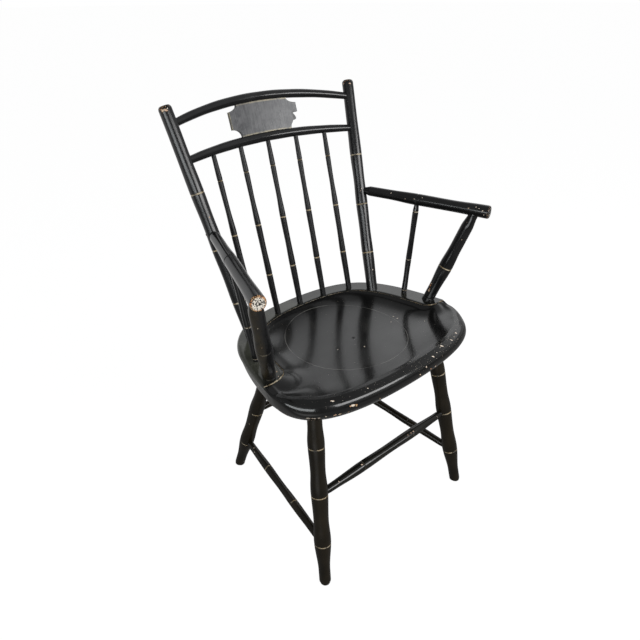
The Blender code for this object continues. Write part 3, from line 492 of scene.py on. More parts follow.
BLACK = Paint((0.005, 0.005, 0.0055), (0.011, 0.011, 0.0115), roughness=0.16, specular=0.5)
SOFT_BLACK = replace(BLACK, roughness=0.23)
DULL_BLACK = replace(BLACK, roughness=0.32, specular=0.26)
PAINTS = {
    "black_paint": BLACK,
    "brown_black_paint": Paint((0.006, 0.0046, 0.0022), (0.016, 0.0115, 0.0055), roughness=0.28,
                               specular=0.34),
    "seat_paint": Paint((0.0035, 0.0035, 0.0034), (0.008, 0.008, 0.0078), roughness=0.18, specular=0.2,
                        grain=(0.05, 1, 1), varnish=0.55, ripple=1.0),
    "tablet_paint": Paint((0.007, 0.007, 0.008), (0.012, 0.012, 0.013), roughness=0.28, specular=0.5),
    "peg_paint": Paint((0.010, 0.008, 0.006), (0.022, 0.017, 0.012), roughness=0.45, specular=0.3),
}
OWN_PAINT = {
    "arm_post_left": replace(BLACK, roughness=0.28),
    "arm_post_right": replace(BLACK, specular=0.34),
    "back_post_left": SOFT_BLACK,
    "back_post_right": SOFT_BLACK,
    "stretcher_front": Paint((0.006, 0.006, 0.005), (0.013, 0.012, 0.009), roughness=0.11, specular=0.4),
    **{f"spindle_{number}": DULL_BLACK for number in range(1, SPINDLE_COUNT + 1)},
}
MARKS = {"seat": seat_marks, "tablet": tablet_marks_and_sheen, "arm_post_left": painted_lit_side}
SHARED_MATERIALS = {
    slot: paint_material(slot, PAINTS[slot]) for slot in ("black_paint", "brown_black_paint", "peg_paint")
}


# Pieces
def node_material(node, slot, mesh, matrix):
    """A node's own material if it has chips, marks or a paint of its own, or else its slot's shared one.

    A chip lies where the camera's ray through its pixel meets the piece.
    """
    if node not in CHIPS and node not in MARKS and node not in OWN_PAINT:
        return SHARED_MATERIALS[slot]
    corners = [vertex.co for vertex in mesh.vertices]
    surface = BVHTree.FromPolygons(corners, [face.vertices for face in mesh.polygons])
    inverse = matrix.inverted()
    turn = inverse.to_3x3()
    chips = []
    for column, row, radius, tone, stretch in CHIPS.get(node, []):
        hit = surface.ray_cast(inverse @ place(CAMERA_PLACE), turn @ pixel_ray(column, row))[0]
        if hit:
            chips.append((hit, radius / 1000, tone, stretch))
    paint = OWN_PAINT.get(node, PAINTS[slot])
    return paint_material(f"{slot}_{node}", paint, chips, turn @ camera_axes()[0], MARKS.get(node))


def add_piece(node, mesh, matrix, slot, fields=None):
    """A finished piece that stands for a node of the part, with its wear fields and its paint."""
    piece = add_object(f"{node}_finished", mesh)
    piece.matrix_world = matrix
    mesh.shade_smooth()
    mesh.set_sharp_from_angle(angle=SHARP_ANGLE)
    values = {name: np.zeros(len(mesh.vertices)) for name in FIELDS}
    values.update(fields or {})
    for name, numbers in values.items():
        attribute = mesh.attributes.new(name, "FLOAT", "POINT")
        attribute.data.foreach_set("value", numbers.astype(np.float32))
    mesh.materials.append(node_material(node, slot, mesh, matrix))
    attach(piece, "root")
    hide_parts(node)
    return piece


def grid_faces(rows, columns):
    """Quads over rows of points that close on themselves."""
    faces = []
    for row in range(rows - 1):
        base = row * columns
        for column in range(columns):
            after = (column + 1) % columns
            faces.append((base + column, base + after, base + columns + after, base + columns + column))
    return faces


def tube_faces(rows, columns):
    """The quads of a tube, and a cap at each end."""
    first = list(range(columns))
    last = [(rows - 1) * columns + column for column in first]
    return [*grid_faces(rows, columns), first[::-1], last]


def smooth_step(value):
    share = min(max(value, 0), 1)
    return share * share * (3 - 2 * share)


def ramp(value, start, run):
    """A smooth step from 0 at the start to 1 after the run."""
    return smooth_step((value - start) / run)


def bell(values, middle, width):
    return np.exp(-((values - middle) / width) ** 2)


def axis_matrix(start, end):
    """Local +Z along a piece's axis, from its start."""
    turn = UP.rotation_difference(end - start)
    return Matrix.Translation(start) @ turn.to_matrix().to_4x4()


def eased_radius(keys, distances):
    """Radii along keys of distance and diameter, where each key is a crest or a hollow."""
    places = np.array([key[0] for key in keys])
    widths = np.array([key[1] for key in keys])
    index = np.clip(np.searchsorted(places, distances, side="right") - 1, 0, len(keys) - 2)
    share = np.clip((distances - places[index]) / (places[index + 1] - places[index]), 0, 1)
    ease = (1 - np.cos(np.pi * share)) / 2
    return (widths[index] + (widths[index + 1] - widths[index]) * ease) / 2


def add_turned(node, start, end, keys, rings=(), paint="black_paint", sides=40, tip=None, gold=1.0,
               plain_rings=(), floor=False):
    """A turned piece with scored rings, painted or plain.

    keys are distances along the axis and diameters, and floor cuts the far end level with the floor.
    tip is for a rounded far end: its length, its flat diameter, its wear and how pale the wood is there.
    """
    low, high = keys[0][0], keys[-1][0]
    groups = [np.arange(low, high, STATION_STEP), [key[0] for key in keys]]
    scores = (*rings, *plain_rings)
    groups += [ring + RING_STATIONS for ring in scores]
    if tip:
        reach, flat, tip_wear, tip_cream = tip
        groups.append(high - reach * (1 - np.sin(np.linspace(0, math.pi / 2, TIP_STEPS + 1))))
    distances = np.unique(np.round(np.concatenate(groups), 6))
    distances = distances[(distances >= low) & (distances <= high)]
    radii = eased_radius(keys, distances)
    lines = np.zeros(len(distances))
    for ring in scores:
        radii -= SCORE_DEPTH * bell(distances, ring, SCORE_HALF_WIDTH)
        if ring in rings:
            lines = np.maximum(lines, gold * bell(distances, ring, GOLD_HALF_WIDTH))
    worn = np.zeros(len(distances))
    pale = np.zeros(len(distances))
    if tip:
        along = (distances - high) / reach + 1
        radii = flat / 2 + (radii - flat / 2) * np.sqrt(1 - np.clip(along, 0, 1) ** 2)
        worn = tip_wear * np.clip(along + TIP_WEAR_REACH, 0, 1)
        cap = np.ones(len(CAP_SHARES))
        distances = np.append(distances, high * cap)
        radii = np.append(radii, radii[-1] * np.array(CAP_SHARES))
        lines = np.append(lines, 0 * cap)
        worn = np.append(worn, tip_wear * cap)
        pale = np.append(pale, tip_cream * cap)

    random = np.random.default_rng(zlib.crc32(node.encode()))
    angles = 2 * np.pi * np.arange(sides) / sides
    phases = random.uniform(0, 2 * np.pi, len(WOBBLE_WAVES))
    wave = np.zeros((len(distances), sides))
    for (strength, lobes, waves), phase in zip(WOBBLE_WAVES, phases):
        wave += strength * np.cos(lobes * angles[None] + waves * distances[:, None] + phase)
    grown = radii[:, None] * (1 + WOBBLE / radii.max() * wave)
    across, over = grown * np.cos(angles), grown * np.sin(angles)
    points = np.stack([across, over, np.broadcast_to(distances[:, None], across.shape)], -1)

    matrix = axis_matrix(start, end)
    if floor:
        up = matrix.to_3x3().transposed() @ UP
        floor_depth = -(start.z + up.x * across + up.y * over) / up.z
        points[..., 2] = np.minimum(points[..., 2], floor_depth)
        points[-1, :, 2] = floor_depth[-1]
    mesh = new_mesh(node, points.reshape(-1, 3).tolist(), tube_faces(len(distances), sides))
    levels = {"gold": lines, "wear": worn, "cream": pale}
    fields = {name: np.repeat(values, sides) for name, values in levels.items()}
    add_piece(node, mesh, matrix, paint, fields)


# Seat outline
def bezier(points, t):
    a, b, c, d = (Vector(point) for point in points)
    u = 1 - t
    return a * u ** 3 + b * (3 * u * u * t) + c * (3 * u * t * t) + d * t ** 3


def seat_edge(t):
    """The outline's right half: 0 at the back's middle, 1 at the widest point, 2 at the front's middle."""
    widest = (SEAT_HALF_WIDTH, SEAT_WIDEST_Y)
    if t <= 1:
        side = (SEAT_HALF_WIDTH - SEAT_SIDE_TAPER, SEAT_WIDEST_Y + SEAT_SIDE_RUN)
        return bezier(((0, SEAT_BACK_Y), (SEAT_BACK_FLAT, SEAT_BACK_Y), side, widest), t)
    side = (SEAT_HALF_WIDTH, SEAT_WIDEST_Y - SEAT_FRONT_RUN)
    return bezier((widest, side, (SEAT_FRONT_FLAT, SEAT_FRONT_Y), (0, SEAT_FRONT_Y)), t - 1)


def seat_inward(t):
    step = 0.001
    along = seat_edge(min(t + step, 2)) - seat_edge(max(t - step, 0))
    return Vector((along.y, -along.x)).normalized()


def edge_position(value, axis):
    """Where the outline's rear curve has the given x or y, found by halving."""
    low, high = 0.0, 1.0
    rising = seat_edge(high)[axis] > seat_edge(low)[axis]
    for _ in range(40):
        middle = (low + high) / 2
        if (seat_edge(middle)[axis] < value) == rising:
            low = middle
        else:
            high = middle
    return low


def deck_from_side(y, inset):
    return (seat_edge(edge_position(y, 1)).x - inset, y, SEAT_TOP)


def deck_from_back(x, inset):
    return (x, seat_edge(edge_position(abs(x), 0)).y - inset, SEAT_TOP)


def smooth_curve(points, steps):
    """A Catmull-Rom curve through points, which are numpy rows."""
    padded = [2 * points[0] - points[1], *points, 2 * points[-1] - points[-2]]
    curve = []
    for a, b, c, d in zip(padded, padded[1:], padded[2:], padded[3:]):
        for step in range(steps):
            u = step / steps
            curve.append(b + (c - a) * u / 2 + (a - 2.5 * b + 2 * c - d / 2) * u ** 2
                         + (1.5 * (b - c) + (d - a) / 2) * u ** 3)
    return np.array(curve + [points[-1]])


BACK_STEPS = 64
TURN_STEPS = 26
FRONT_STEPS = 60
FRONT_FIRST_SPLIT = 4
EDGE_STEPS = 6
DECK_STEPS = 6
GROOVE_STEPS = 8
DISH_STEPS = 60
LIP_STEPS = 6

# Paint and wear of the seat
GROOVE_GOLD = 0.95
GROOVE_LINE = 0.62
GROOVE_TURN_GOLD = 0.15
GROOVE_TURN_LINE = 0.3
GROOVE_TURN_WIDENING = 0.5
EDGE_WEAR = 0.08
FRONT_EDGE_WEAR = 0.26
CORNER_WEAR = 0.36
CREST_DEPTH = 0.012
SIDE_RUB = 0.2
TOP_RUB = 0.3
DISH_RUB = 0.25
FRONT_RUB = {-1: 0.3, 1: 0.7}
DECK_DUST = {-1: 1.0, 1: 0.25}
RIM_DUST_RISE = 0.02
TOP_CREAM = 0.8
EDGE_CREAM = 0.3
TOP_CREAM_DEPTH = 0.02


def seat_samples():
    """Outline parameters, closest together where the groove turns out to the edge."""
    turn_start = edge_position(SEAT_WIDEST_Y + GROOVE_TURN, 1)
    samples = [turn_start * index / BACK_STEPS for index in range(BACK_STEPS + 1)]
    for index in range(1, TURN_STEPS):
        angle = math.pi / 2 * index / TURN_STEPS
        samples.append(edge_position(SEAT_WIDEST_Y + GROOVE_TURN * (1 - math.sin(angle)), 1))
    samples += [1 + index / FRONT_STEPS / FRONT_FIRST_SPLIT for index in range(FRONT_FIRST_SPLIT)]
    return samples + [1 + index / FRONT_STEPS for index in range(1, FRONT_STEPS + 1)]


def front_roll(t):
    """0 where the seat's edge is square, and 1 where it is rolled."""
    return smooth_step((t - 1 - FRONT_ROLL_START) / FRONT_ROLL_BLEND)


def rim_inset(t):
    """How far inside the outline the rolled edge meets the top."""
    return SEAT_EDGE_ROUND + (FRONT_ROLL - SEAT_EDGE_ROUND) * front_roll(t)


def groove_place(t, side):
    """How far inside the outline the groove runs, the way across it, and how far it has ended."""
    edge, inward = seat_edge(t), seat_inward(t)
    forward = Vector((-inward.y, inward.x))
    end = GROOVE_END_Y[side]
    past = smooth_step((end - edge.y) / GROOVE_END_RUN)
    width = DECK_WIDTH_BACK + (DECK_WIDTH_SIDE - DECK_WIDTH_BACK) * smooth_step(t)
    turn = min(max((end + GROOVE_TURN - edge.y) / GROOVE_TURN, 0), 1)
    left = math.sqrt(1 - turn ** 2)
    across = inward * (GROOVE_TURN * left) + forward * (width * turn)
    least = rim_inset(t) + (GROOVE_RIM_GAP + (GROOVE_ENDED_GAP - GROOVE_RIM_GAP) * past) * GROOVE_WIDTH
    return max(least, width * left), across.normalized().lerp(inward, past), past


def seat_column(t, side):
    """Points, gold, wear, rub and haze of one slice of the seat, from its underside to the dish's lip."""
    edge, inward = seat_edge(t), seat_inward(t)
    roll = front_roll(t)

    def blend(square, rolled):
        return square + (rolled - square) * roll

    level = SEAT_TOP - FRONT_DROP * ramp(t, 1, FRONT_DROP_BLEND)
    rim = rim_inset(t)
    groove, cross, ended = groove_place(t, side)
    shoulder = level - blend(SEAT_EDGE_ROUND, FRONT_SHOULDER_DROP)

    # On the left the deck's edge stands out further than on the right
    out = 0
    if side < 0:
        out = LEFT_OVERHANG * ramp(t, 0.45, 0.3) * (1 - ramp(t, 1.02, 0.2))
    outer = smooth_curve(np.array([
        (SEAT_UNDERCUT + out / 2, SEAT_BOTTOM),
        (SEAT_LOWER_BULGE_INSET + out / 4, SEAT_BOTTOM + SEAT_LOWER_BULGE),
        (-out / 3, level - blend(SEAT_UPPER_BULGE, FRONT_BULGE)),
        (blend(SEAT_SHOULDER_INSET, FRONT_SHOULDER_INSET) - out, shoulder),
        (rim - out, level),
    ]), EDGE_STEPS)
    rows = len(outer)
    turned = smooth_step((SEAT_WIDEST_Y + GROOVE_TURN - edge.y) / GROOVE_TURN)
    half = GROOVE_WIDTH / 2 * (1 + GROOVE_TURN_WIDENING * turned)
    deck = np.linspace(rim - out, groove - half, DECK_STEPS + 1)[1:-1]
    across = np.linspace(-1, 1, GROOVE_STEPS + 1)
    floor = level - GROOVE_DEPTH * (1 - ended) * (1 + np.cos(math.pi * across)) / 2
    heights = np.concatenate([outer[:, 1], np.full(len(deck), level), floor])
    spots = [edge + inward * inset for inset in (*outer[:, 0], *deck)]
    spots += [edge + inward * groove + cross * (half * share) for share in across]
    points = [(side * spot.x, spot.y, z) for spot, z in zip(spots, heights)]

    # The groove is painted, brightest where it turns round the arm post
    brightness = (GROOVE_GOLD + GROOVE_TURN_GOLD * ramp(t, 0.86, 0.1)) * (1 - ended)
    gold = np.zeros(len(points))
    gold[-len(across):] = brightness * bell(across, 0, GROOVE_LINE + GROOVE_TURN_LINE * turned)
    gold[rows - 2:-len(across)] = bell(edge.y, GROOVE_END_Y[side], GROOVE_WIDTH / 2)

    # The lower edge is chipped in front and at the left front corner, and the front's crest is rubbed
    rise = heights[:rows] - SEAT_BOTTOM
    wear = np.zeros(len(points))
    wear[:rows] = (EDGE_WEAR + FRONT_EDGE_WEAR * roll) * bell(rise, 0.004, 0.006)
    if side < 0:
        corner = ramp(t, 0.7, 0.1) * (1 - ramp(t, 1.25, 0.1))
        wear[:rows] += CORNER_WEAR * corner * bell(rise, 0.0075, 0.0022)
    rub_and_sheen = np.where(heights > level - CREST_DEPTH, TOP_RUB + FRONT_RUB[side] * roll, SIDE_RUB)

    # Dust dulls the deck, mostly on the left, and the left rim
    haze = np.zeros(len(points))
    haze[rows:-len(across)] = DECK_DUST[side] * (1 - ramp(t, 0.9, 0.1))
    if side < 0:
        haze[:rows] = np.clip(rise / RIM_DUST_RISE, 0, 1) * (1 - ramp(t, 0.9, 0.15))
    return points, gold, wear, rub_and_sheen, haze


def lip_nearness(points, lips):
    """Each point's smoothed distance to the lip of the dish, and the height of the lip near it."""
    along = np.roll(lips, -1, axis=0) - lips
    shares = (np.arange(LIP_STEPS) + 0.5) / LIP_STEPS
    spots = (lips[:, None] + along[:, None] * shares[None, :, None]).reshape(-1, 3)
    lengths = np.repeat(np.linalg.norm(along[:, :2], axis=1) / LIP_STEPS, LIP_STEPS)
    gaps, heights = [], []
    for part in np.array_split(points, 24):
        weight = lengths / ((part[:, None, :2] - spots[None, :, :2]) ** 2).sum(-1) ** 2
        total = weight.sum(1)
        gaps.append((math.pi / 2 / total) ** (1 / 3))
        heights.append(weight @ spots[:, 2] / total)
    return np.concatenate(gaps), np.concatenate(heights)


def add_seat():
    """The plank seat: rolled edge, flat deck, painted groove and dished middle."""
    samples = seat_samples()
    columns = [seat_column(t, 1) for t in samples] + [seat_column(t, -1) for t in samples[-2:0:-1]]
    points, gold, wear, rub_and_sheen, haze = (np.array(parts) for parts in zip(*columns))
    lips = points[:, -1]
    floor = SEAT_TOP - DISH_DEPTH
    centre = np.array((*DISH_CENTRE, floor + DISH_SWEEP * (DISH_CENTRE[1] - DISH_LOW_Y) ** 2))
    shares = 1 - np.arange(DISH_STEPS) / DISH_STEPS
    dish = centre + (lips[:, None] - centre) * shares[None, :, None]
    gap, height = lip_nearness(dish[:, 1:].reshape(-1, 3), lips)
    rest = DISH_LIP_SHARE * np.exp(-gap / DISH_LIP_RUN)
    rest += (1 - DISH_LIP_SHARE) * np.clip(1 - gap / DISH_RUN, 0, 1) ** 3
    swept = floor + DISH_SWEEP * (dish[:, 1:, 1].ravel() - DISH_LOW_Y) ** 2
    dish[:, 1:, 2] = (swept + (height - swept) * rest).reshape(dish.shape[0], -1)

    skin = np.concatenate([points, dish[:, 1:]], axis=1).transpose(1, 0, 2)
    rows, count = skin.shape[:2]
    faces = grid_faces(rows, count)
    faces.append(list(range(count))[::-1])
    middle = rows * count
    last = (rows - 1) * count
    faces += [(last + index, last + (index + 1) % count, middle) for index in range(count)]
    vertices = np.concatenate([skin.reshape(-1, 3), centre[None]]) + np.array(SHIFT)
    mesh = new_mesh("seat", vertices.tolist(), faces)
    inside = (rows - gold.shape[1]) * count + 1
    fields = {}
    for name, values in (("gold", gold), ("wear", wear), ("rub_and_sheen", rub_and_sheen), ("haze", haze)):
        inner = DISH_RUB if name == "rub_and_sheen" else 0
        fields[name] = np.concatenate([values.T.ravel(), np.full(inside, inner)])
    fields["cream"] = np.where(vertices[:, 2] > SEAT_TOP - TOP_CREAM_DEPTH, TOP_CREAM, EDGE_CREAM)
    add_piece("seat", mesh, Matrix.Identity(4), "seat_paint", fields)


# Legs and stretchers
LEG_TENON = (-0.031, 0.021)
LEG_GOLD = 0.75
LEG_RINGS = (0.2999, 0.1982, 0.0900)
LEG_PROFILE = (
    (0.391, 0.0285), (0.3455, 0.0284), (0.3084, 0.0330), (0.2491, 0.0298), (0.2067, 0.0342),
    (0.1441, 0.0304), (0.0985, 0.0346), (0.028, 0.0240), (0.004, 0.0238), (0, 0.0204),
)
STRETCHER_END = ((0.003, 0.0150), (0.017, 0.0150), (0.026, 0.0162))
STRETCHER_RING = {"front": 0.118, "rear": 0.085, "left": 0.118, "right": 0.118}
STRETCHER_GOLD = {"front": 0.4, "rear": 0.6, "left": 0.75, "right": 0.35}
CROSS_STRETCHER_DIAMETERS = (0.0216, 0.0198)
SIDE_STRETCHER_DIAMETERS = (0.0188, 0.0170)


def leg_axis(ends, side):
    return place(ends[0], side), place(ends[1], side)


def add_legs():
    for row, ends in (("front", FRONT_LEG), ("rear", REAR_LEG)):
        for side, word in SIDES:
            start, end = leg_axis(ends, side)
            slant = (end - start).length / start.z
            keys = [LEG_TENON]
            keys += [((start.z - height) * slant, diameter) for height, diameter in LEG_PROFILE]
            rings = [(start.z - height) * slant for height in LEG_RINGS]
            add_turned(f"leg_{row}_{word}", start, end, keys, rings, "brown_black_paint", sides=48,
                       gold=LEG_GOLD, floor=True)


def leg_point(ends, side, height):
    start, end = leg_axis(ends, side)
    return start + (end - start) * ((start.z - height) / start.z)


def add_stretcher(name, start, end, diameters):
    """A stretcher between two legs' axes. The diameters are those at its rings and at its waist."""
    length = (end - start).length
    ring = STRETCHER_RING[name]
    half = [*STRETCHER_END, (ring, diameters[0])]
    keys = half + [(length / 2, diameters[1])] + [(length - s, d) for s, d in reversed(half)]
    add_turned(f"stretcher_{name}", start, end, keys, (ring, length - ring), "brown_black_paint", sides=32,
               gold=STRETCHER_GOLD[name])


def add_stretchers():
    for name, ends in (("front", FRONT_LEG), ("rear", REAR_LEG)):
        left, right = (leg_point(ends, side, CROSS_STRETCHER_HEIGHT) for side in (-1, 1))
        add_stretcher(name, left, right, CROSS_STRETCHER_DIAMETERS)
    for side, word in SIDES:
        rear_height = SIDE_STRETCHER_HEIGHT if side < 0 else RIGHT_STRETCHER_REAR_HEIGHT
        rear = leg_point(REAR_LEG, side, rear_height)
        front = leg_point(FRONT_LEG, side, SIDE_STRETCHER_HEIGHT)
        add_stretcher(word, rear, front, SIDE_STRETCHER_DIAMETERS)


# Back
POST_RINGS = (0.0851, 0.1946, 0.3029)
POST_SOCKET = 0.033
POST_DIAMETER = 0.0244
POST_RING_DIAMETER = 0.0262
POST_TIP = (0.007, 0.0130, 0.26, 0.6)
RODS = (
    ("upper_rod", UPPER_ROD_DROP, UPPER_ROD_BOW, UPPER_ROD_DIAMETER),
    ("lower_rod", LOWER_ROD_DROP, LOWER_ROD_BOW, LOWER_ROD_DIAMETER),
)
ROD_STEPS = 150
ROD_SIDES = 32
ROD_WOBBLE_WAVES = 40
SPINDLE_RINGS = (0.0881, 0.1943, 0.3018)
SPINDLE_GOLD = 1.2


def post_axis(side):
    base = place(deck_from_side(POST_BASE_Y, POST_EDGE_INSET), side)
    return base, base + Vector((side * POST_RISE[0], *POST_RISE[1:]))


def post_point(side, drop):
    """A point of a post's axis, a distance below its top."""
    base, top = post_axis(side)
    return top - (top - base).normalized() * drop


def add_posts():
    for side, word in SIDES:
        base, top = post_axis(side)
        length = (top - base).length
        keys = [(-POST_SOCKET, POST_DIAMETER), (0, POST_DIAMETER)]
        for ring, after in zip(POST_RINGS, (*POST_RINGS[1:], length)):
            keys += [(ring, POST_RING_DIAMETER), ((ring + after) / 2, POST_DIAMETER)]
        keys.append((length, POST_DIAMETER))
        add_turned(f"back_post_{word}", base, top, keys, POST_RINGS, tip=POST_TIP)


def rod_ends(drop):
    return post_point(-1, drop), post_point(1, drop)


def rod_point(drop, bow, share):
    left, right = rod_ends(drop)
    return left + (right - left) * share + Vector(bow) * (4 * share * (1 - share))


def rod_direction(drop, bow, share):
    step = 0.001
    return rod_point(drop, bow, share + step) - rod_point(drop, bow, share - step)


def rod_share(drop, x):
    """How far along a rod an x is, from 0 at the left post to 1 at the right one."""
    left, right = rod_ends(drop)
    return (x - left.x) / (right.x - left.x)


def add_rods():
    angles = 2 * np.pi * np.arange(ROD_SIDES) / ROD_SIDES
    lengthwise = Matrix.Rotation(math.pi / 2, 4, 'Y')
    for node, drop, bow, diameter in RODS:
        left, right = rod_ends(drop)
        past = ROD_PAST_POST / (right - left).length
        points = []
        for share in np.linspace(-past, 1 + past, ROD_STEPS + 1):
            centre = rod_point(drop, bow, share)
            along = rod_direction(drop, bow, share).normalized()
            across = along.cross(UP).normalized()
            upward = across.cross(along)
            arch = max(4 * share * (1 - share), 0)
            radius = (ROD_END_DIAMETER + (diameter - ROD_END_DIAMETER) * arch) / 2
            radius += WOBBLE * math.sin(ROD_WOBBLE_WAVES * share + drop * 100)
            for angle in angles:
                aside = centre + across * (radius * math.cos(angle))
                points.append(aside + upward * (radius * math.sin(angle)))
        turned = [lengthwise.inverted() @ point for point in points]
        mesh = new_mesh(node, turned, tube_faces(ROD_STEPS + 1, ROD_SIDES))
        add_piece(node, mesh, lengthwise, "black_paint")


def add_spindles():
    first, second, third = SPINDLE_RINGS
    for index in range(SPINDLE_COUNT):
        spot = index - (SPINDLE_COUNT - 1) / 2
        base = place(deck_from_back(spot * SPINDLE_SPACING, SPINDLE_EDGE_INSET))
        share = rod_share(LOWER_ROD_DROP, spot * SPINDLE_TOP_SPACING)
        top = rod_point(LOWER_ROD_DROP, LOWER_ROD_BOW, share)
        length = (top - base).length
        keys = [
            (-0.024, 0.0124), (0, 0.0124), (first, 0.0136), (0.1412, 0.0121), (second, 0.0127),
            (0.2480, 0.0100), (third, 0.0108), (length - LOWER_ROD_DIAMETER / 2, 0.0092), (length, 0.0092),
        ]
        add_turned(f"spindle_{index + 1}", base, top, keys, SPINDLE_RINGS, sides=28, gold=SPINDLE_GOLD)


# Tablet
TABLET_BITE = (
    (0.0003, -0.0190), (-0.0020, -0.0198), (-0.0110, -0.0203), (-0.0100, -0.0235), (-0.0076, -0.0265),
    (-0.0058, -0.0305), (-0.0056, -0.0330), (-0.0075, -0.0349), (-0.0100, -0.0356), (-0.0130, -0.0352),
)
TABLET_LOBE_WIDTH = 0.0115
TABLET_LOBE_DROP = 0.0201
TABLET_LOWER_ARC_KEPT = 0.0160
TABLET_CUTS = 32
TABLET_LEVELS = 8
TABLET_BEVEL = 0.0009
# Share of the grey and its painted sheen on the tablet's edges, back and split lobe
TABLET_EDGE_RUB_AND_SHEEN = 0.1
TABLET_CREAM = 0.45


def tablet_outline(height):
    """The notched outline in the tablet's own plane, as x and height above the lower rod's face."""
    top, bottom = height + TABLET_SLOT, -TABLET_SLOT
    ear_top = height - TABLET_TOP_NOTCH
    arc = [math.radians(angle) for angle in range(0, 91, 10)]
    reach = TABLET_EAR - TABLET_BODY
    upper = [(TABLET_EAR - reach * math.cos(a), height - TABLET_TOP_NOTCH * math.sin(a)) for a in arc]
    lower = [(TABLET_EAR - reach * math.cos(a), TABLET_BOTTOM_NOTCH * math.sin(a)) for a in arc]
    left = [(-TABLET_BODY, top)] + [(-x, v) for x, v in upper] + [(-x, v) for x, v in reversed(lower)]
    left.append((-TABLET_BODY, bottom))

    # The right ear has split: its lower half is a dark lobe behind a bite
    bite = [(TABLET_EAR + x, ear_top + v) for x, v in TABLET_BITE]
    kept = [(x, v) for x, v in lower if x < TABLET_EAR - TABLET_LOWER_ARC_KEPT]
    return left + [(TABLET_BODY, bottom)] + kept + bite[::-1] + upper[::-1] + [(TABLET_BODY, top)]


def tablet_frame(x):
    """The tablet's foot, upward direction, height and forward direction at an x."""
    centres, directions = [], []
    for _, drop, bow, _ in RODS:
        share = rod_share(drop, x)
        centres.append(rod_point(drop, bow, share))
        directions.append(rod_direction(drop, bow, share))
    upper, lower = centres
    rise = upper - lower
    up = rise.normalized()
    forward = (directions[0] + directions[1]).cross(up).normalized()
    foot = lower + up * (LOWER_ROD_DIAMETER / 2)
    return foot, up, rise.length - (LOWER_ROD_DIAMETER + UPPER_ROD_DIAMETER) / 2, forward


def add_tablet():
    """The notched tablet, bent to the rods' bow, with a rubbed face given a painted sheen, and a split
    ear.
    """
    height = tablet_frame(0)[2]
    flat = bmesh.new()
    flat.faces.new([flat.verts.new((x, 0, v)) for x, v in tablet_outline(height)])
    upright_cuts = np.linspace(-TABLET_EAR, TABLET_EAR, TABLET_CUTS + 1)
    level_cuts = np.linspace(0, height, TABLET_LEVELS + 1)
    for normal, cuts in ((Vector((1, 0, 0)), upright_cuts), (UP, level_cuts)):
        for cut in cuts[1:-1]:
            everything = flat.verts[:] + flat.edges[:] + flat.faces[:]
            bmesh.ops.bisect_plane(flat, geom=everything, plane_co=normal * cut, plane_no=normal)
    extruded = bmesh.ops.extrude_face_region(flat, geom=flat.faces[:])
    for vert in (item for item in extruded["geom"] if isinstance(item, bmesh.types.BMVert)):
        vert.co.y = TABLET_THICKNESS
    bmesh.ops.recalc_face_normals(flat, faces=flat.faces[:])
    plain = np.array([vert.co for vert in flat.verts])
    foot, up, _, forward = tablet_frame(0)
    matrix = Matrix.Translation(foot) @ Matrix((up.cross(forward), -forward, up)).transposed().to_4x4()
    for vert in flat.verts:
        foot, up, tall, forward = tablet_frame(vert.co.x + TABLET_OFFSET)
        stretch = tall / height
        depth = vert.co.y - TABLET_THICKNESS / 2
        vert.co = matrix.inverted() @ (foot + up * (vert.co.z * stretch) - forward * depth)
    mesh = bpy.data.meshes.new("tablet")
    flat.to_mesh(mesh)
    flat.free()
    x, depth, v = plain.T
    front = depth < TABLET_THICKNESS / 2
    lobe = (x > TABLET_EAR - TABLET_LOBE_WIDTH) & (v < height - TABLET_TOP_NOTCH - TABLET_LOBE_DROP)
    # The front face, apart from the split lobe, gets the grey that is partly painted sheen
    fields = {
        "rub_and_sheen": np.where(front & ~lobe, 1.0, TABLET_EDGE_RUB_AND_SHEEN),
        "upward": v / height,
        "across": x / TABLET_EAR,
        "cream": np.full(len(x), TABLET_CREAM),
    }
    piece = add_piece("tablet", mesh, matrix, "tablet_paint", fields)
    bevel = piece.modifiers.new("soft_edges", 'BEVEL')
    bevel.width = TABLET_BEVEL
    bevel.segments = 2
    bevel.limit_method = 'ANGLE'
    bevel.angle_limit = SHARP_ANGLE


# Arms
ARM_RING = 0.1365
ARM_TIP = {-1: (0.0045, 0.0225, 0.57, 0.95), 1: (0.0045, 0.0225, 0.24, 0.95)}
ARM_POST_RING = 0.0850
ARM_POST_FOOT_RING = 0.0060
ARM_POST_GOLD = {-1: 0.35, 1: 0.8}
ARM_SPINDLE_RINGS = (0.0064, 0.0788, 0.1870)
ARM_SPINDLE_GOLD = 0.8


def arm_axis(side):
    base, top = post_axis(side)
    start = base + (top - base) * (ARM_HEIGHT / POST_RISE[2])
    return start, start + Vector((side * ARM_RUN[0], *ARM_RUN[1:]))


def arm_point(side, setback):
    """A point of an arm's axis, a distance behind its front end."""
    start, end = arm_axis(side)
    return end - (end - start).normalized() * setback


def add_arms():
    for side, word in SIDES:
        start, end = arm_axis(side)
        reach = (end - start).length
        keys = [
            (0, 0.0130), (0.011, 0.0134), (0.026, 0.0208), (0.068, 0.0212), (ARM_RING, 0.0248),
            ((ARM_RING + reach) / 2, 0.0242), (reach - 0.004, 0.0275), (reach, 0.0275),
        ]
        add_turned(f"arm_{word}", start, end, keys, plain_rings=(ARM_RING,), tip=ARM_TIP[side])


def add_arm_posts():
    for side, word in SIDES:
        base = place(deck_from_side(ARM_POST_BASE_Y, ARM_POST_EDGE_INSET), side)
        top = arm_point(side, ARM_POST_SETBACK)
        length = (top - base).length
        arm_face = length - 0.0128
        keys = [
            (-0.027, 0.0250), (0, 0.0250), (0.030, 0.0250), (ARM_POST_RING, 0.0302), (0.134, 0.0260),
            (arm_face - 0.030, 0.0260), (arm_face, 0.0200), (length, 0.0185),
        ]
        add_turned(f"arm_post_{word}", base, top, keys, (ARM_POST_RING,), gold=ARM_POST_GOLD[side],
                   plain_rings=(ARM_POST_FOOT_RING,))


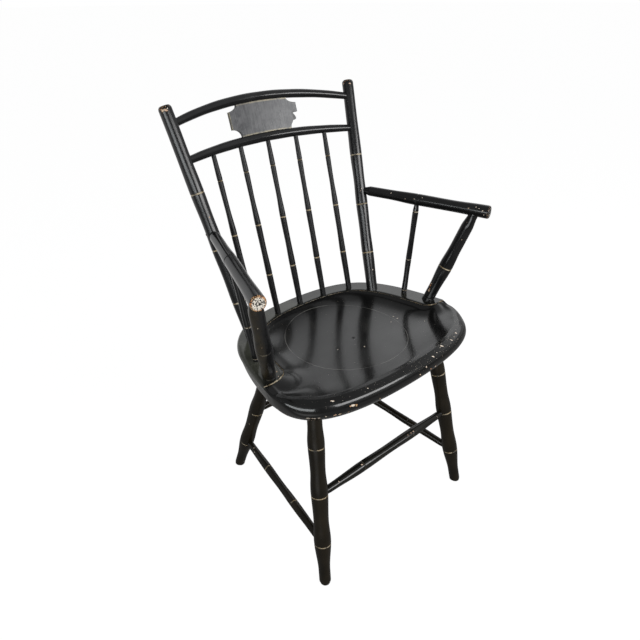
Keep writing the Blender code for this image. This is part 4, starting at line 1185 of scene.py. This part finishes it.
def add_arm_spindles():
    first, second, third = ARM_SPINDLE_RINGS
    for side, word in SIDES:
        base = place(deck_from_side(ARM_SPINDLE_BASE_Y, ARM_SPINDLE_EDGE_INSET), side)
        top = arm_point(side, ARM_SPINDLE_SETBACK)
        length = (top - base).length
        keys = [
            (-0.022, 0.0120), (0, 0.0120), (first, 0.0131), (0.0426, 0.0120), (second, 0.0131),
            (0.1329, 0.0120), (third, 0.0131), (length - 0.0122, 0.0104), (length, 0.0104),
        ]
        add_turned(f"arm_spindle_{word}", base, top, keys, ARM_SPINDLE_RINGS, sides=28,
                   gold=ARM_SPINDLE_GOLD)


# Pegs
PEG_DIAMETER = 0.005
PEG_DEPTH = 0.0085
PEG_REACH = 0.01304
PEG_DOME = (0.0012, 0.0026, 0.3, 0)


def add_peg(node, side, joint, entering):
    """A small domed peg driven through a post from behind."""
    base, top = post_axis(side)
    across = (top - base).cross(entering).normalized()
    if across.y < 0:
        across = -across
    keys = [(-PEG_DEPTH, PEG_DIAMETER), (POST_DIAMETER / 2, PEG_DIAMETER), (PEG_REACH, PEG_DIAMETER)]
    add_turned(node, joint, joint + across, keys, paint="peg_paint", sides=24, tip=PEG_DOME)


def add_pegs():
    for side, word in SIDES:
        for label, drop, bow, _ in RODS:
            left, right = rod_ends(drop)
            entering = (right - left) * side - 4 * Vector(bow)
            add_peg(f"{label}_peg_{word}", side, post_point(side, drop), entering)
        start, end = arm_axis(side)
        add_peg(f"arm_peg_{word}", side, start, start - end)


# Stage
FLOOR_RADIUS = 40
FLOOR_TONE = (0.20, 0.195, 0.19)
FLOOR_SEEN_TONE = (0.12, 0.12, 0.12)
FLOOR_WHITE = 0.95
FLOOR_MIRRORED = 0.07
FLOOR_BEHIND = 0.65
FLOOR_BEHIND_Y = (0.3, 1.3)
FLOOR_PATCH = 1.0
FLOOR_PATCH_CENTRE = (-1.1, -0.8, 0)
FLOOR_PATCH_RADII = (0.15, 0.7)
ROOM_COLOUR = (0.98, 0.99, 1.0, 1)
ROOM_MIRRORED = 0.05
LOW_LEVEL = 0.12
CEILING_LEVEL = 0.10
WALL_LEVEL = 1.2
WALL_DIM_SHARE = 0.1
WALL_DIRECTION = (0.92, 0.39, 0)
RIGHT_LEVEL = 0.25
RIGHT_DIRECTION = (0.95, -0.3, 0)
BACK_LEVEL = 0.75
BACK_DIRECTION = (-0.1, 0.995, 0)
WHITE = (1, 1, 1)
COOL_WHITE = (0.94, 0.985, 1.0)
LIGHT_AIM = (0, 0, 0.45)


def add_floor():
    bpy.ops.mesh.primitive_circle_add(vertices=64, radius=FLOOR_RADIUS, fill_type='NGON')
    floor = bpy.context.object
    floor.name = "floor"
    material = bpy.data.materials.new("pale_floor")
    material.use_nodes = True
    tree = material.node_tree
    tree.nodes.remove(tree.nodes["Principled BSDF"])
    rays = add_node(tree, "ShaderNodeLightPath").outputs
    camera = rays["Is Camera Ray"]
    through = plus(camera, rays["Is Transmission Ray"])
    matte = add_node(tree, "ShaderNodeBsdfDiffuse", {"Color": mix(camera, FLOOR_TONE, FLOOR_SEEN_TONE)})
    position = add_node(tree, "ShaderNodeNewGeometry").outputs["Position"]
    depth = add_node(tree, "ShaderNodeSeparateXYZ", {"Vector": position}).outputs["Y"]
    behind = remap(depth, *FLOOR_BEHIND_Y, FLOOR_MIRRORED, FLOOR_MIRRORED + FLOOR_BEHIND)
    away = vector_node("DISTANCE", position, FLOOR_PATCH_CENTRE)
    patch = remap(away, *FLOOR_PATCH_RADII, FLOOR_PATCH, 0)
    mirrored = times(rays["Is Glossy Ray"], plus(behind, patch))
    seen = plus(times(through, FLOOR_WHITE), mirrored)
    white = add_node(tree, "ShaderNodeEmission", {"Color": (*WHITE, 1), "Strength": seen})
    both = add_node(tree, "ShaderNodeAddShader", {0: matte.outputs[0], 1: white.outputs[0]})
    feed(tree.nodes["Material Output"], {"Surface": both.outputs[0]})
    floor.data.materials.append(material)


def add_soft_box(name, azimuth, elevation, distance, size, radiance, colour=WHITE):
    """A soft box that faces the chair. Azimuth 0 is straight in front, and more is further right."""
    turn, lift = math.radians(azimuth), math.radians(elevation)
    away = Vector((math.sin(turn) * math.cos(lift), -math.cos(turn) * math.cos(lift), math.sin(lift)))
    data = bpy.data.lights.new(name, 'AREA')
    data.shape = 'RECTANGLE'
    data.size, data.size_y = size
    data.energy = radiance * math.pi * size[0] * size[1]
    data.color = colour
    lamp = add_object(name, data)
    aim = place(LIGHT_AIM)
    lamp.location = aim + away * distance
    lamp.rotation_mode = 'QUATERNION'
    lamp.rotation_quaternion = (aim - lamp.location).to_track_quat('-Z', 'Y')


def add_room():
    """A pale room, brightest high on the wall behind the chair, and white where the camera sees it.

    A direction's height is 0 at the horizon and 1 straight up.
    """
    world = bpy.data.worlds.new("room")
    bpy.context.scene.world = world
    world.use_nodes = True
    tree = world.node_tree
    rays = add_node(tree, "ShaderNodeLightPath").outputs
    direction = add_node(tree, "ShaderNodeTexCoord").outputs["Generated"]
    height = add_node(tree, "ShaderNodeSeparateXYZ", {"Vector": direction}).outputs["Z"]
    band = times(remap(height, 0.33, 0.45), remap(height, 0.52, 0.75, 1, 0))
    behind = dot(direction, WALL_DIRECTION)
    wall = times(band, remap(behind, 0.45, 0.95, WALL_DIM_SHARE * WALL_LEVEL, WALL_LEVEL))
    ceiling = remap(height, 0.45, 0.8, LOW_LEVEL, LOW_LEVEL + CEILING_LEVEL)
    right = remap(dot(direction, RIGHT_DIRECTION), 0.2, 0.8, 0, RIGHT_LEVEL)
    straight = remap(dot(direction, BACK_DIRECTION), 0.80, 0.95, 0, BACK_LEVEL)
    back = times(straight, remap(height, 0.42, 0.55, 1, 0))
    level = plus(plus(wall, ceiling), plus(right, back))
    room = tree.nodes["Background"]
    feed(room, {"Color": ROOM_COLOUR, "Strength": level})
    white = add_node(tree, "ShaderNodeBackground", {"Color": (*WHITE, 1), "Strength": 1.0})
    through = plus(rays["Is Camera Ray"], rays["Is Transmission Ray"])
    seen = plus(through, times(rays["Is Glossy Ray"], ROOM_MIRRORED))
    blend = add_node(tree, "ShaderNodeMixShader", {0: seen, 1: room.outputs[0], 2: white.outputs[0]})
    feed(tree.nodes["World Output"], {"Surface": blend.outputs[0]})


def add_light():
    add_soft_box("side_window", azimuth=-62, elevation=12.6, distance=2.66, size=(2.2, 0.6), radiance=6.5,
                 colour=COOL_WHITE)
    add_soft_box("front_window", azimuth=14.7, elevation=23, distance=2.36, size=(1.9, 0.75), radiance=8.0)
    add_room()


bpy.context.scene.view_settings.view_transform = 'Standard'
add_seat()
add_legs()
add_stretchers()
add_posts()
add_rods()
add_spindles()
add_tablet()
add_arms()
add_arm_posts()
add_arm_spindles()
add_pegs()
add_floor()
add_light()
add_camera()
